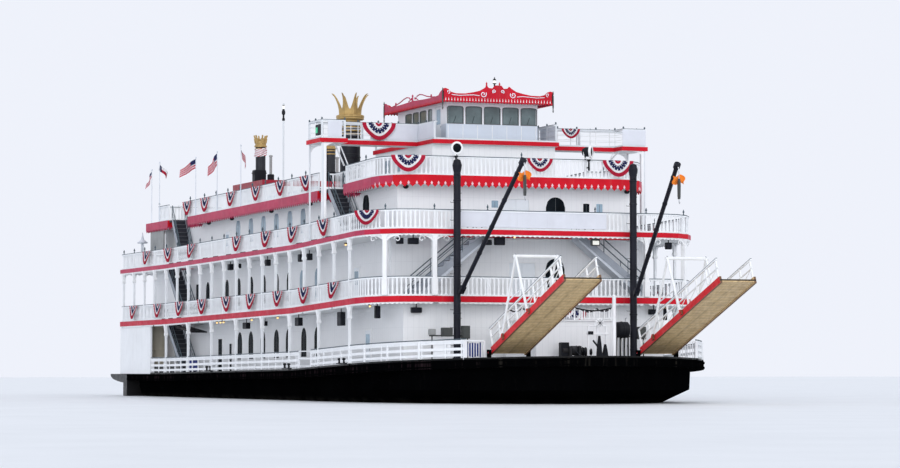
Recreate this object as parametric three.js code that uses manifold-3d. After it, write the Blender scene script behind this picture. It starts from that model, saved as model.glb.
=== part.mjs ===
import * as THREE from "three";
import { mergeVertices } from "three/addons/utils/BufferGeometryUtils.js";
import Module from "manifold-3d";

// Stern-wheel paddle steamer at 1:2. Sizes below are metres of the full-size ship, x towards the bow,
// y to port and z up from the waterline. solidOf turns them into millimetres of the model.
const wasm = await Module();
wasm.setup();

// Millimetres of the model for one metre of the ship
const MODEL = 500;
// Joint line between pieces that touch: 0.3 mm in the model
const GAP = 0.0006;
const PLAY = 0.0012;
const FAR = 60;

// Sheer of the decks. Columns: x, rise
const SHEER = [
  [-36, 0],
  [-20, 0],
  [8, 0.24],
  [35, 1.03],
];
// Decks: height of the top at the stern, share of the sheer, thickness
const MAIN = { top: 1.57, sheer: 1.0, thick: 0.45 };
const SECOND = { top: 5.32, sheer: 1.0, thick: 0.34 };
const THIRD = { top: 9.07, sheer: 1.0, thick: 0.28 };
const FOURTH = { top: 12.43, sheer: 0.92, thick: 0.48 };
const BRIDGE = { top: 15.33, sheer: 0, thick: 0.25 };

// Hull and main deck in plan
const HALF_BEAM = 10.3;
const BOW_START = 17.5;
const BOW_TIP = 31.8;
const TRANSOM = -30;
const BOW_STEPS = 12;

// Second and third decks in plan
const AFT_END = -32;
const FRONT_END = 22.3;
const CORNER = 2.8;
const CORNER_STEPS = 4;

// Fourth deck in plan
const FOURTH_HALF = 8.4;
const FOURTH_FRONT = 19.3;
const FOURTH_CORNER = 2.4;
const FOURTH_INNER = 7.36;
// Stair notches in the fourth deck's side. Columns: aft x, forward x
const NOTCHES = [
  [-26.2, -21.1],
  [7.2, 12.0],
];

// Houses: aft face, front face, half width, wall thickness
const LOWER = { aft: -29.4, front: 21.2, half: 8.0, wall: 0.16 };
const SALOON = { aft: -31.4, front: 19.2, half: 8.0, wall: 0.16 };
const TEXAS = { aft: -30.7, front: 18.3, half: 7.3, wall: 0.14 };
const BRIDGE_HOUSE = { aft: 5.0, front: 14.9, half: 3.9, wall: 0.12 };
const WHEELHOUSE = { aft: 6.3, front: 14.6, half: 2.9, wall: 0.1 };
const EAVE = 17.6;
const DOORWAY = { half: 0.8, height: 2.1 };
const POLE_TOP = 19.8;

// Masts, booms and gangways
const MAST = { x: 22.8, y: 5.39, radius: 0.2, top: 13.65, ball: 0.27, head: 0.38 };
const BOOM = { heelOut: 0.5, heelZ: 6.2, tipX: 30.5, tipY: 4.55, tipZ: 13.1, radius: 0.12 };
// Heel pins of the booms, which turn in the masts' lugs
const PIN = { radius: 0.04 };
const GANGWAY = { x: 28.05, y: 4.42, z: 2.69, tipX: 38.1, tipZ: 6.38, half: 1.06, beam: 0.36 };

// Hinge pins of the gangways, which turn in the deck's ears
const HINGE = { radius: 0.06, rise: 0.1 };

// Stern wheel and rudders
const WHEEL = { x: -32.7, z: 2.1, radius: 2.4, half: 8.3, shaft: 0.25, buckets: 14 };
const RUDDER = { x: -27.6, y: 4.2, stock: 0.11, low: -1.9 };

// Bays of the side decks: posts stand on each line of the upper decks and on each second line below
const BAY = 2.745;
const FIRST_BAY = -20.2;
const BAYS = 14;
const POST = 0.07;
const RAIL = { outer: 0.1, inner: 0.2, toe: 0.1, low: 0.99, high: 1.07 };

const WHITE = 0xf2f2ee;
const RED = 0xc8142a;
const BLACK = 0x17181c;
const GOLD = 0xb98a2e;
const TAN = 0xb99a5f;
const GREY = 0x8d9094;

function solidOf(geometry) {
  geometry.deleteAttribute("normal");
  geometry.deleteAttribute("uv");
  geometry.scale(MODEL, MODEL, MODEL);
  const merged = mergeVertices(geometry, 1e-3);
  return new wasm.Manifold(
    new wasm.Mesh({
      numProp: 3,
      vertProperties: merged.attributes.position.array,
      triVerts: new Uint32Array(merged.index.array),
    }),
  );
}

function joined(solids) {
  return solids.reduce((all, one) => all.add(one));
}

function extruded(points, depth) {
  const shape = new THREE.Shape(points.map(([a, b]) => new THREE.Vector2(a, b)));
  return new THREE.ExtrudeGeometry(shape, { depth, bevelEnabled: false });
}

// Plan outline of (x, y) points, extruded upwards
function upright(outline, low = -5, high = 25) {
  return solidOf(extruded(outline, high - low).translate(0, 0, low));
}

// Side profile of (x, z) points, extruded across the ship
function across(profile, y0, y1) {
  return solidOf(extruded(profile, y1 - y0).rotateX(Math.PI / 2).translate(0, y1, 0));
}

// Front profile of (y, z) points, extruded along the ship
function along(profile, x0, x1) {
  const turn = new THREE.Matrix4().makeBasis(
    new THREE.Vector3(0, 1, 0),
    new THREE.Vector3(0, 0, 1),
    new THREE.Vector3(1, 0, 0),
  );
  return solidOf(extruded(profile, x1 - x0).applyMatrix4(turn).translate(x0, 0, 0));
}

function box(x0, x1, y0, y1, z0, z1) {
  const size = new THREE.BoxGeometry(x1 - x0, y1 - y0, z1 - z0);
  return solidOf(size.translate((x0 + x1) / 2, (y0 + y1) / 2, (z0 + z1) / 2));
}

function rod(from, to, radius, sides = 8) {
  const a = new THREE.Vector3(...from);
  const b = new THREE.Vector3(...to);
  const turn = new THREE.Quaternion().setFromUnitVectors(
    new THREE.Vector3(0, 1, 0),
    b.clone().sub(a).normalize(),
  );
  const bar = new THREE.CylinderGeometry(radius, radius, a.distanceTo(b), sides);
  const middle = a.clone().add(b).multiplyScalar(0.5);
  return solidOf(bar.applyQuaternion(turn).translate(middle.x, middle.y, middle.z));
}

// Round hole in which a rod of this radius turns with 0.6 mm of play
function bore(from, to, radius, sides) {
  return rod(from, to, (radius + PLAY) / Math.cos(Math.PI / sides), sides);
}

// Profile of (radius, z) points that starts and ends on the axis, turned about a vertical line
function turned(profile, x, y, sides) {
  const points = profile.map(([r, z]) => new THREE.Vector2(r, z));
  return solidOf(new THREE.LatheGeometry(points, sides).rotateX(Math.PI / 2).translate(x, y, 0));
}

function rise(x) {
  const k = Math.max(1, SHEER.findIndex(([end]) => end >= x));
  const [x0, z0] = SHEER[k - 1];
  const [x1, z1] = SHEER[k];
  return z0 + ((z1 - z0) * (x - x0)) / (x1 - x0);
}

function topOf(deck, x) {
  return deck.top + deck.sheer * rise(x);
}

function underOf(deck, x) {
  return topOf(deck, x) - deck.thick;
}

// Everything between two heights that follow the sheer, from x0 to x1
function band(low, high, x0 = -35.9, x1 = 34.9) {
  const stops = [x0, ...SHEER.map(([x]) => x).filter((x) => x > x0 && x < x1), x1];
  const lower = stops.map((x) => [x, low(x)]);
  const upper = stops.map((x) => [x, high(x)]).reverse();
  return across([...lower, ...upper], -FAR, FAR);
}

const OUT = new THREE.Group();

function add(name, solid, color, roughness = 0.5, metalness = 0, parent = OUT) {
  const made = solid.getMesh();
  const geometry = new THREE.BufferGeometry();
  geometry.setAttribute("position", new THREE.BufferAttribute(made.vertProperties, made.numProp));
  geometry.setIndex(new THREE.BufferAttribute(made.triVerts, 1));
  geometry.computeVertexNormals();
  const mesh = new THREE.Mesh(
    geometry,
    new THREE.MeshStandardMaterial({ color, roughness, metalness }),
  );
  mesh.name = name;
  parent.add(mesh);
}

// The two sides of the ship: name and sign of y
const SIDES = [
  ["starboard", -1],
  ["port", 1],
];

// Plan outlines, each moved inwards by inset
function hullOutline(half, start, tip, aft) {
  const side = [];
  for (let k = 0; k <= BOW_STEPS; k++) {
    const angle = (k / BOW_STEPS) * (Math.PI / 2);
    side.push([start + (tip - start) * Math.sin(angle), half * Math.cos(angle)]);
  }
  side[BOW_STEPS][1] = 0;
  const starboard = side.map(([x, y]) => [x, -y]);
  const port = side.slice(0, BOW_STEPS).reverse();
  return [[aft, -half], ...starboard, ...port, [aft, half]];
}

function mainOutline(inset) {
  return hullOutline(HALF_BEAM - inset, BOW_START, BOW_TIP - inset, TRANSOM + inset);
}

function corner(cx, cy, radius, from, steps) {
  const points = [];
  for (let k = 0; k <= steps; k++) {
    const angle = from + (k / steps) * (Math.PI / 2);
    points.push([cx + radius * Math.cos(angle), cy + radius * Math.sin(angle)]);
  }
  return points;
}

function upperOutline(inset) {
  const half = HALF_BEAM - inset;
  const front = FRONT_END - inset;
  const radius = CORNER - inset;
  return [
    [AFT_END + inset, -half],
    ...corner(front - radius, radius - half, radius, -Math.PI / 2, CORNER_STEPS),
    ...corner(front - radius, half - radius, radius, 0, CORNER_STEPS),
    [AFT_END + inset, half],
  ];
}

function fourthOutline(inset) {
  const half = FOURTH_HALF - inset;
  const inner = FOURTH_INNER - inset;
  const front = FOURTH_FRONT - inset;
  const radius = FOURTH_CORNER - inset;
  const notched = NOTCHES.flatMap(([aft, forward]) => [
    [aft - inset, -half],
    [aft - inset, -inner],
    [forward + inset, -inner],
    [forward + inset, -half],
  ]);
  const starboard = [
    [AFT_END + inset, -half],
    ...notched,
    ...corner(front - radius, radius - half, radius, -Math.PI / 2, CORNER_STEPS),
  ];
  const port = starboard.map(([x, y]) => [x, -y]).reverse();
  return [...starboard, ...port];
}

// The rail of the fourth deck stops short of the after end
const RAIL_AFT = -29.05;

function fourthRailOutline(inset) {
  return fourthOutline(inset).map(([x, y]) => [Math.max(x, RAIL_AFT + inset), y]);
}

// Wings of the bridge deck: a walkway out to a wider end
const WING = { aft: 11.24, front: 13.85, walk: 12.6, half: 10.45, neck: 8.75 };
const CENTRE = { aft: 4.8, front: 15.3, half: 4.0 };

function bridgeOutline(inset) {
  const half = WING.half - inset;
  const neck = WING.neck + inset;
  const inner = CENTRE.half - inset;
  const starboard = [
    [CENTRE.aft + inset, -inner],
    [WING.aft + inset, -inner],
    [WING.aft + inset, -half],
    [WING.front - inset, -half],
    [WING.front - inset, -neck],
    [WING.walk - inset, -neck],
    [WING.walk - inset, -inner],
    [CENTRE.front - inset, -inner],
  ];
  const port = starboard.map(([x, y]) => [x, -y]).reverse();
  return [...starboard, ...port];
}

// Hull: a stack of plan outlines, closed by flat ends
function hullBody() {
  // Columns: z, half breadth, start of the bow curve, stem
  const levels = [
    [-2.0, 8.6, 9, 24.5],
    [-1.4, 9.1, 11, 26],
    [0.0, 9.15, 12.6, 29.0],
    [0.75, 9.4, 17.7, 31.0],
    [2.7, 9.4, 17.8, 31.3],
  ];
  const rings = levels.map(([z, half, start, tip]) =>
    hullOutline(half, start, tip, TRANSOM + 0.1).map(([x, y]) => [x, y, z]),
  );
  const count = rings[0].length;
  const triangles = [];
  for (let level = 0; level + 1 < rings.length; level++) {
    for (let k = 0; k < count; k++) {
      const next = (k + 1) % count;
      const [a, b] = [rings[level][k], rings[level][next]];
      const [c, d] = [rings[level + 1][next], rings[level + 1][k]];
      triangles.push(a, b, c, a, c, d);
    }
  }
  for (let k = 1; k + 1 < count; k++) {
    const [low, high] = [rings[0], rings[rings.length - 1]];
    triangles.push(low[0], low[k + 1], low[k], high[0], high[k], high[k + 1]);
  }
  const geometry = new THREE.BufferGeometry();
  geometry.setAttribute("position", new THREE.Float32BufferAttribute(triangles.flat(), 3));
  const run = across([[-20, -2.2], [-31, -2.2], [-31, 0.1]], -FAR, FAR);
  let hull = solidOf(geometry).subtract(run);
  hull = hull.intersect(band(() => -5, (x) => underOf(MAIN, x) - GAP));
  for (const [, side] of SIDES) {
    const y = side * RUDDER.y;
    hull = hull.subtract(bore([RUDDER.x, y, -2], [RUDDER.x, y, 0.4], RUDDER.stock, 12));
  }
  return hull;
}

function deckPlate(outline, deck, holes = []) {
  let plate = upright(outline(0));
  plate = plate.intersect(band((x) => underOf(deck, x), (x) => topOf(deck, x)));
  for (const [x0, x1, y0, y1] of holes) {
    for (const [, side] of SIDES) {
      const [near, far] = side > 0 ? [y0, y1] : [-y1, -y0];
      plate = plate.subtract(box(x0, x1, near, far, -5, 25));
    }
  }
  return plate;
}

// Guard arm beside the wheel, with the shaft's bearing block and the white side panel
function wheelGuard(side) {
  const [inner, outer] = [8.95, HALF_BEAM];
  const [near, far] = side > 0 ? [inner, outer] : [-outer, -inner];
  const arm = across(
    [
      [TRANSOM - GAP, MAIN.top],
      [-34.6, MAIN.top],
      [-34.55, 1.4],
      [-33.9, 1.2],
      [-32.6, 1.05],
      [-31.0, 0.95],
      [-31.0, -0.5],
      [TRANSOM - GAP, -0.5],
    ],
    near,
    far,
  );
  const [blockNear, blockFar] = side > 0 ? [inner, 9.5] : [-9.5, -inner];
  const block = across(
    [
      [WHEEL.x - 0.55, MAIN.top - 0.1],
      [WHEEL.x + 0.55, MAIN.top - 0.1],
      [WHEEL.x + 0.4, WHEEL.z + 0.45],
      [WHEEL.x - 0.4, WHEEL.z + 0.45],
    ],
    blockNear,
    blockFar,
  );
  const hole = bore([WHEEL.x, side * 8, WHEEL.z], [WHEEL.x, side * 9.45, WHEEL.z], WHEEL.shaft, 20);
  const [panelNear, panelFar] = side > 0 ? [10.06, 10.18] : [-10.18, -10.06];
  const panel = across(
    [
      [-32.3, MAIN.top - 0.1],
      [TRANSOM - GAP, MAIN.top - 0.1],
      [TRANSOM - GAP, MAIN.top + GAP],
      [-24.1, MAIN.top + GAP],
      [-24.1, SECOND.top - SECOND.thick - GAP],
      [-31.9, SECOND.top - SECOND.thick - GAP],
      [-32.3, SECOND.top - SECOND.thick - 0.1],
    ],
    panelNear,
    panelFar,
  );
  return joined([arm, block, panel]).subtract(hole);
}

// Four walls of a house between two decks
function house(name, size, low, high, openings = {}) {
  const { aft, front, half, wall } = size;
  const room = band(low, high);
  const walls = {
    starboard: box(aft, front, -half, -half + wall, -5, 25),
    port: box(aft, front, half - wall, half, -5, 25),
    front: box(front - wall, front, wall + GAP - half, half - wall - GAP, -5, 25),
    aft: box(aft, aft + wall, wall + GAP - half, half - wall - GAP, -5, 25),
  };
  for (const [place, shape] of Object.entries(walls)) {
    let solid = shape.intersect(room);
    for (const [x0, x1, y0, y1, z0, z1] of openings[place] ?? []) {
      solid = solid.subtract(box(x0, x1, y0, y1, z0, z1));
    }
    add(`${name}_${place}_wall`, solid, WHITE);
  }
}

function between(lower, upper) {
  return [(x) => topOf(lower, x) + GAP, (x) => underOf(upper, x) - GAP];
}

// A doorway through a wall that stands across the ship, in its middle
function doorway(x, deck) {
  const sill = topOf(deck, x);
  return [x - 1, x + 1, -DOORWAY.half, DOORWAY.half, sill - 1, sill + DOORWAY.height];
}

// Closed loop of rail that follows an outline, between two heights above the deck
function loop(outline, deck, low, high) {
  const ring = upright(outline(RAIL.outer)).subtract(upright(outline(RAIL.inner)));
  return ring.intersect(band((x) => topOf(deck, x) + low, (x) => topOf(deck, x) + high));
}

function post(x, y, half = POST) {
  return box(x - half, x + half, y - half, y + half, -5, 25);
}

// Railing of one deck: toe rail, top rail with gaps, tall posts up to the deck above and short posts
function railing({ outline, deck, above, tall, short, gaps }) {
  const toe = loop(outline, deck, GAP, RAIL.toe);
  let top = loop(outline, deck, RAIL.low, RAIL.high);
  for (const [x0, x1, y0, y1] of gaps) {
    top = top.subtract(box(x0, x1, y0, y1, -5, 25));
  }
  const pieces = [toe, top];
  if (tall.length) {
    const room = band((x) => topOf(deck, x) + GAP, (x) => underOf(above, x) - GAP);
    pieces.push(joined(tall.map(([x, y]) => post(x, y))).intersect(room));
  }
  if (short.length) {
    const room = band((x) => topOf(deck, x) + GAP, (x) => topOf(deck, x) + RAIL.high);
    pieces.push(joined(short.map(([x, y]) => post(x, y, 0.05))).intersect(room));
  }
  return joined(pieces);
}

// Flight of steps. The profile runs from the foot to the head and is extruded over the flight's width
function flight(foot, head, low, high, steps = 12) {
  const run = (head - foot) / steps;
  const up = (high - low) / steps;
  const profile = [];
  for (let k = 0; k < steps; k++) {
    profile.push([foot + k * run, low + (k + 0.75) * up], [foot + (k + 1) * run, low + (k + 0.75) * up]);
  }
  const depth = 0.42;
  profile.push([head, high - depth], [foot + Math.abs(run) * Math.sign(run) * 1.5, low], [foot, low]);
  return run > 0 ? profile.reverse() : profile;
}

const [SIDE_IN, SIDE_OUT] = [8.42, 9.3];
const SIDE_FOOT = -18.9;
const SIDE_HEAD = -23.1;
const FRONT_FOOT = 7.4;
const FRONT_HEAD = 2.8;

function sideStairs() {
  for (const [name, side] of SIDES) {
    const [near, far] = side > 0 ? [SIDE_IN, SIDE_OUT] : [-SIDE_OUT, -SIDE_IN];
    const [inner, outer] = side > 0 ? [7.44, 8.3] : [-8.3, -7.44];
    const rows = [
      ["lower_stair", SIDE_FOOT, SIDE_HEAD, MAIN, SECOND, near, far, 0],
      ["upper_stair", SIDE_FOOT, SIDE_HEAD, SECOND, THIRD, near, far, 0],
      ["aft_texas_stair", -22.85, -25.2, THIRD, FOURTH, inner, outer, -26.14],
      ["forward_texas_stair", 12.65, 9.1, THIRD, FOURTH, inner, outer, 7.26],
    ];
    for (const [kind, foot, head, deck, above, y0, y1, landing] of rows) {
      const low = Math.max(topOf(deck, foot), topOf(deck, head)) + GAP;
      const high = topOf(above, head);
      let steps = across(flight(foot, head, low, high), y0, y1);
      if (landing) {
        steps = steps.add(box(landing, head + 0.1, y0, y1, high - 0.15, high - 0.02));
      }
      add(`${kind}_${name}`, steps, BLACK, 0.7);
    }
  }
  // Front pair, joined by their landing in the third deck
  const low = topOf(SECOND, 20.95) + GAP;
  const high = topOf(THIRD, 20);
  const flights = SIDES.map(([, side]) => {
    const profile = flight(side * FRONT_FOOT, side * FRONT_HEAD, low, high);
    return along(side > 0 ? profile : profile.reverse(), 19.95, 20.95);
  });
  const landing = box(19.95, 20.95, -FRONT_HEAD - 0.1, FRONT_HEAD + 0.1, high - 0.2, high);
  add("front_stair", joined([...flights, landing]), WHITE, 0.6);
}

function paddleWheel() {
  const frames = [-1, -1 / 3, 1 / 3, 1].map((share) => share * (WHEEL.half - 0.1));
  const pieces = [rod([0, -9.42, 0], [0, 9.42, 0], WHEEL.shaft, 24)];
  for (const y of frames) {
    const rim = rod([0, y - 0.06, 0], [0, y + 0.06, 0], WHEEL.radius - 0.12, 28);
    const hollow = rod([0, y - 1, 0], [0, y + 1, 0], WHEEL.radius - 0.3, 28);
    pieces.push(rim.subtract(hollow));
    pieces.push(rod([0, y - 0.12, 0], [0, y + 0.12, 0], 0.5, 20));
    for (let k = 0; k < WHEEL.buckets; k++) {
      const angle = (k / WHEEL.buckets) * 2 * Math.PI;
      const arm = box(-0.05, 0.05, y - 0.04, y + 0.04, 0.2, WHEEL.radius - 0.15);
      pieces.push(moved(arm, new THREE.Matrix4().makeRotationY(angle)));
    }
  }
  for (let k = 0; k < WHEEL.buckets; k++) {
    const angle = (k / WHEEL.buckets) * 2 * Math.PI;
    const bucket = box(-0.04, 0.04, -WHEEL.half, WHEEL.half, WHEEL.radius - 0.6, WHEEL.radius);
    pieces.push(moved(bucket, new THREE.Matrix4().makeRotationY(angle)));
  }
  return joined(pieces);
}

// Copy of a solid, turned and moved by a matrix in ship metres
function moved(solid, matrix) {
  const made = solid.getMesh();
  const geometry = new THREE.BufferGeometry();
  geometry.setAttribute("position", new THREE.BufferAttribute(made.vertProperties, 3));
  geometry.setIndex(new THREE.BufferAttribute(made.triVerts, 1));
  geometry.scale(1 / MODEL, 1 / MODEL, 1 / MODEL).applyMatrix4(matrix);
  return solidOf(geometry.toNonIndexed());
}

function rudder(side) {
  const y = side * RUDDER.y;
  const blade = across(
    [
      [RUDDER.x + 0.5, -1.62],
      [RUDDER.x + 0.5, -0.95],
      [RUDDER.x - 1.4, -0.55],
      [RUDDER.x - 1.6, RUDDER.low],
      [RUDDER.x + 0.3, RUDDER.low],
    ].reverse(),
    y - 0.07,
    y + 0.07,
  );
  return blade.add(rod([RUDDER.x, y, -1.6], [RUDDER.x, y, 0.3], RUDDER.stock, 16));
}

// Chimney with its open crown of curved points
function smokestack({ x, y, low, neck, radius, crownLow, crownHigh, ring, spread, points }) {
  const shaft = turned(
    [
      [0, low],
      [radius + 0.12, low],
      [radius + 0.12, low + 0.25],
      [radius, low + 0.35],
      [radius, neck],
      [ring, neck + 0.05],
      [ring, crownLow],
      [radius * 1.05, crownLow + 0.08],
      [radius * 1.05, crownLow + 0.35 * (crownHigh - crownLow)],
      [radius * 0.85, crownLow + 0.35 * (crownHigh - crownLow)],
      [radius * 0.85, neck - 0.6],
      [0, neck - 0.6],
    ],
    x,
    y,
    16,
  );
  const leaves = [];
  for (let k = 0; k < points; k++) {
    const angle = (k / points) * 2 * Math.PI;
    const at = (r, z) => [x + r * Math.cos(angle), y + r * Math.sin(angle), z];
    const height = crownHigh - crownLow;
    const r0 = radius * 0.95;
    leaves.push(rod(at(r0, crownLow + 0.25 * height), at(r0 * 1.15, crownLow + 0.7 * height), 0.11, 5));
    leaves.push(rod(at(r0 * 1.13, crownLow + 0.66 * height), at(spread, crownHigh), 0.06, 5));
  }
  return joined([shaft, ...leaves]);
}

function mast(side) {
  const low = topOf(MAIN, MAST.x + 0.4) + GAP;
  const y = side * MAST.y;
  const pole = turned(
    [
      [0, low],
      [0.4, low],
      [0.4, low + 0.12],
      [MAST.radius, low + 0.3],
      [MAST.radius, MAST.top - 2 * MAST.head],
      [MAST.ball * 0.85, MAST.top - 1.7 * MAST.head],
      [MAST.ball, MAST.top - MAST.head],
      [MAST.ball * 0.7, MAST.top - 0.25 * MAST.head],
      [0, MAST.top],
    ],
    MAST.x,
    y,
    16,
  );
  // Lug that carries the boom's heel pin
  const reach = BOOM.heelOut;
  const plate = box(0, reach + 0.1, -0.06, 0.06, -0.14, 0.14);
  const hole = bore([reach, -1, 0], [reach, 1, 0], PIN.radius, 10);
  const place = new THREE.Matrix4().makeRotationZ(boomHeading(side));
  place.setPosition(MAST.x, y, BOOM.heelZ);
  return pole.add(moved(plate.subtract(hole), place));
}

function boomHeading(side) {
  return Math.atan2(side * (BOOM.tipY - MAST.y), BOOM.tipX - MAST.x);
}

// Boom along +X from its heel pin, before it is turned and raised
function boomBody(length) {
  const spar = rod([0.25, 0, 0], [length - 0.2, 0, 0], BOOM.radius, 12);
  const cap = rod([length - 0.3, 0, 0], [length, 0, 0], BOOM.radius * 1.6, 10);
  const forks = [-1, 1].map((side) => {
    const [near, far] = side > 0 ? [0.085, 0.15] : [-0.15, -0.085];
    return box(-0.12, 0.4, near, far, -0.1, 0.1);
  });
  const bridge = box(0.22, 0.4, -0.15, 0.15, -0.1, 0.1);
  const pin = rod([0, -0.14, 0], [0, 0.14, 0], PIN.radius, 12);
  return joined([spar, cap, bridge, pin, ...forks]);
}

// Gangway along +X from its hinge, before it is raised
function gangwayBody(length) {
  const { half, beam } = GANGWAY;
  const floor = box(0.1, length, -half, half, 0.06, 0.2);
  const pieces = [floor];
  for (const [, side] of SIDES) {
    const [near, far] = side > 0 ? [half - 0.12, half] : [-half, -half + 0.12];
    pieces.push(box(0.1, length, near, far, 0, beam));
    const middle = (near + far) / 2;
    pieces.push(box(0.2, length - 0.1, middle - 0.04, middle + 0.04, 1.32, 1.4));
    pieces.push(box(0.2, length - 0.1, middle - 0.03, middle + 0.03, 0.86, 0.92));
    for (let k = 0; k <= 8; k++) {
      const x = 0.24 + (k * (length - 0.48)) / 8;
      pieces.push(box(x - 0.04, x + 0.04, middle - 0.04, middle + 0.04, 0.3, 1.36));
    }
    const outside = side * (half + 0.1);
    const apex = [5.35, outside, 3.54];
    pieces.push(rod([2.0, outside, 0.2], apex, 0.07, 8));
    pieces.push(rod([5.85, outside, 0.2], apex, 0.07, 8));
    pieces.push(box(1.9, 2.12, Math.min(middle, outside), Math.max(middle, outside), 0.1, 0.34));
    pieces.push(box(5.74, 5.96, Math.min(middle, outside), Math.max(middle, outside), 0.1, 0.34));
  }
  pieces.push(rod([5.35, -half - 0.22, 3.54], [5.35, half + 0.22, 3.54], 0.09, 8));
  for (const [, side] of SIDES) {
    const [near, far] = side > 0 ? [half - 0.12, half] : [-half, -half + 0.12];
    pieces.push(box(-0.12, 0.15, near, far, 0, 0.22));
  }
  const { radius, rise: up } = HINGE;
  pieces.push(rod([0, -half - 0.14, up], [0, half + 0.14, up], radius, 12));
  return moved(joined(pieces), new THREE.Matrix4().makeTranslation(0, 0, -up));
}

function raised(name, solid, color, place, yaw, pitch, roughness) {
  const heading = new THREE.Group();
  heading.position.set(...place.map((value) => value * MODEL));
  heading.rotation.z = yaw;
  const tilt = new THREE.Group();
  tilt.rotation.y = -pitch;
  heading.add(tilt);
  OUT.add(heading);
  add(name, solid, color, roughness, 0, tilt);
}

// Hull, main deck and wheel guards
add("hull", hullBody(), BLACK, 0.5);
let mainDeck = deckPlate(mainOutline, MAIN);
for (const [, side] of SIDES) {
  // Ears that carry the gangway's hinge pin
  const { x, y, z, half } = GANGWAY;
  for (const ear of [-1, 1]) {
    const middle = side * y + ear * (half + 0.09);
    const plate = box(x - 0.17, x + 0.17, middle - 0.07, middle + 0.07, topOf(MAIN, x) - 0.1, z + 0.25);
    const pinZ = z + HINGE.rise;
    const hole = bore([x, middle - 0.5, pinZ], [x, middle + 0.5, pinZ], HINGE.radius, 10);
    mainDeck = mainDeck.add(plate.subtract(hole));
  }
}
add("main_deck", mainDeck, GREY, 0.7);
for (const [name, side] of SIDES) {
  add(`wheel_guard_${name}`, wheelGuard(side), WHITE);
}

// Houses and decks, from the main deck up
const lowerDoors = { aft: [doorway(LOWER.aft, MAIN)], front: [doorway(LOWER.front, MAIN)] };
house("lower_house", LOWER, ...between(MAIN, SECOND), lowerDoors);
const wells = [[SIDE_HEAD - 0.01, -19.3, 8.32, 9.4]];
add("second_deck", deckPlate(upperOutline, SECOND, wells), RED);
const saloonDoors = { aft: [doorway(SALOON.aft, SECOND)], front: [doorway(SALOON.front, SECOND)] };
house("saloon", SALOON, ...between(SECOND, THIRD), saloonDoors);
const frontWell = [19.9, 21.0, -0.1, 6.4];
add("third_deck", deckPlate(upperOutline, THIRD, [...wells, frontWell]), RED);
const texasDoors = { aft: [doorway(TEXAS.aft, THIRD)], front: [doorway(TEXAS.front, THIRD)] };
house("texas", TEXAS, ...between(THIRD, FOURTH), texasDoors);
// Fourth deck with the signal pole that stands on it
const signalPole = rod([-13.2, -4, topOf(FOURTH, -13.2) - 0.1], [-13.2, -4, POLE_TOP], 0.06, 8);
add("fourth_deck", deckPlate(fourthOutline, FOURTH).add(signalPole), RED);
const bridgeDoors = { aft: [doorway(BRIDGE_HOUSE.aft, FOURTH)] };
house("bridge_house", BRIDGE_HOUSE, ...between(FOURTH, BRIDGE), bridgeDoors);

// Bridge deck with its rail and the posts under its wings, which stand on the third deck
const bridgeRail = railing({
  outline: bridgeOutline,
  deck: BRIDGE,
  above: BRIDGE,
  tall: [],
  short: SIDES.flatMap(([, side]) => [
    [4.95, side * 3.85],
    [7.8, side * 3.85],
    [WING.aft + 0.15, side * 3.85],
    [WING.aft + 0.15, side * 7.0],
    [WING.aft + 0.15, side * 10.3],
    [WING.front - 0.15, side * 10.3],
    [WING.front - 0.15, side * 8.9],
    [WING.walk - 0.15, side * 6.4],
    [WING.walk - 0.15, side * 3.85],
    [15.15, side * 3.85],
  ]),
  gaps: [[15, 15.3, -3.7, 3.7]],
});
const wingPosts = SIDES.flatMap(([, side]) => [
  [WING.aft + 0.09, side * 10.25],
  [WING.front - 0.09, side * 10.25],
]).map(([x, y]) => box(x - 0.045, x + 0.045, y - 0.045, y + 0.045, topOf(THIRD, x + 0.045) + GAP, 15.2));
const bridgePlate = deckPlate(bridgeOutline, BRIDGE);
const toeSink = loop(bridgeOutline, BRIDGE, -0.05, 0.05);
add("bridge_deck", joined([bridgePlate, toeSink, bridgeRail, ...wingPosts]), RED);

// Wheelhouse: windows and the two side doors
const SILL = 16.35;
const HEAD = 17.35;
const frontWindows = [-2, -1, 0, 1, 2].map((k) => [14, 15, k * 1.17 - 0.5, k * 1.17 + 0.5, SILL, HEAD]);
const aftWindows = [-1.6, 0, 1.6].map((y) => [6, 7, y - 0.5, y + 0.5, SILL, HEAD]);
// Columns: aft x, forward x
const sideWindows = [
  [7.65, 8.75],
  [8.95, 9.95],
  [10.15, 11.25],
  [11.6, 12.2],
];
const DOOR = { aft: 12.7, front: 13.75, low: BRIDGE.top + 0.04, high: 17.4 };
const sideCuts = (side) => [
  ...sideWindows.map(([x0, x1]) => [x0, x1, side * 2.9 - 0.5, side * 2.9 + 0.5, SILL, HEAD]),
  [DOOR.aft, DOOR.front, side * 2.9 - 0.5, side * 2.9 + 0.5, DOOR.low, DOOR.high],
];
house("wheelhouse", WHEELHOUSE, () => BRIDGE.top + GAP, () => EAVE - GAP, {
  front: frontWindows,
  aft: aftWindows,
  starboard: sideCuts(-1),
  port: sideCuts(1),
});
for (const [name, side] of SIDES) {
  const y = side * (WHEELHOUSE.half - WHEELHOUSE.wall / 2);
  const leaf = box(DOOR.aft + 0.02, DOOR.front - 0.02, y - 0.03, y + 0.03, DOOR.low + 0.02, DOOR.high - 0.02);
  const pane = box(DOOR.aft + 0.18, DOOR.front - 0.18, y - 1, y + 1, SILL, HEAD - 0.1);
  const hinge = DOOR.aft + 0.05;
  const pin = rod([hinge, y, DOOR.low + GAP], [hinge, y, DOOR.high - GAP], 0.025, 8);
  add(`wheelhouse_door_${name}`, leaf.subtract(pane).add(pin), WHITE);
}

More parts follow.
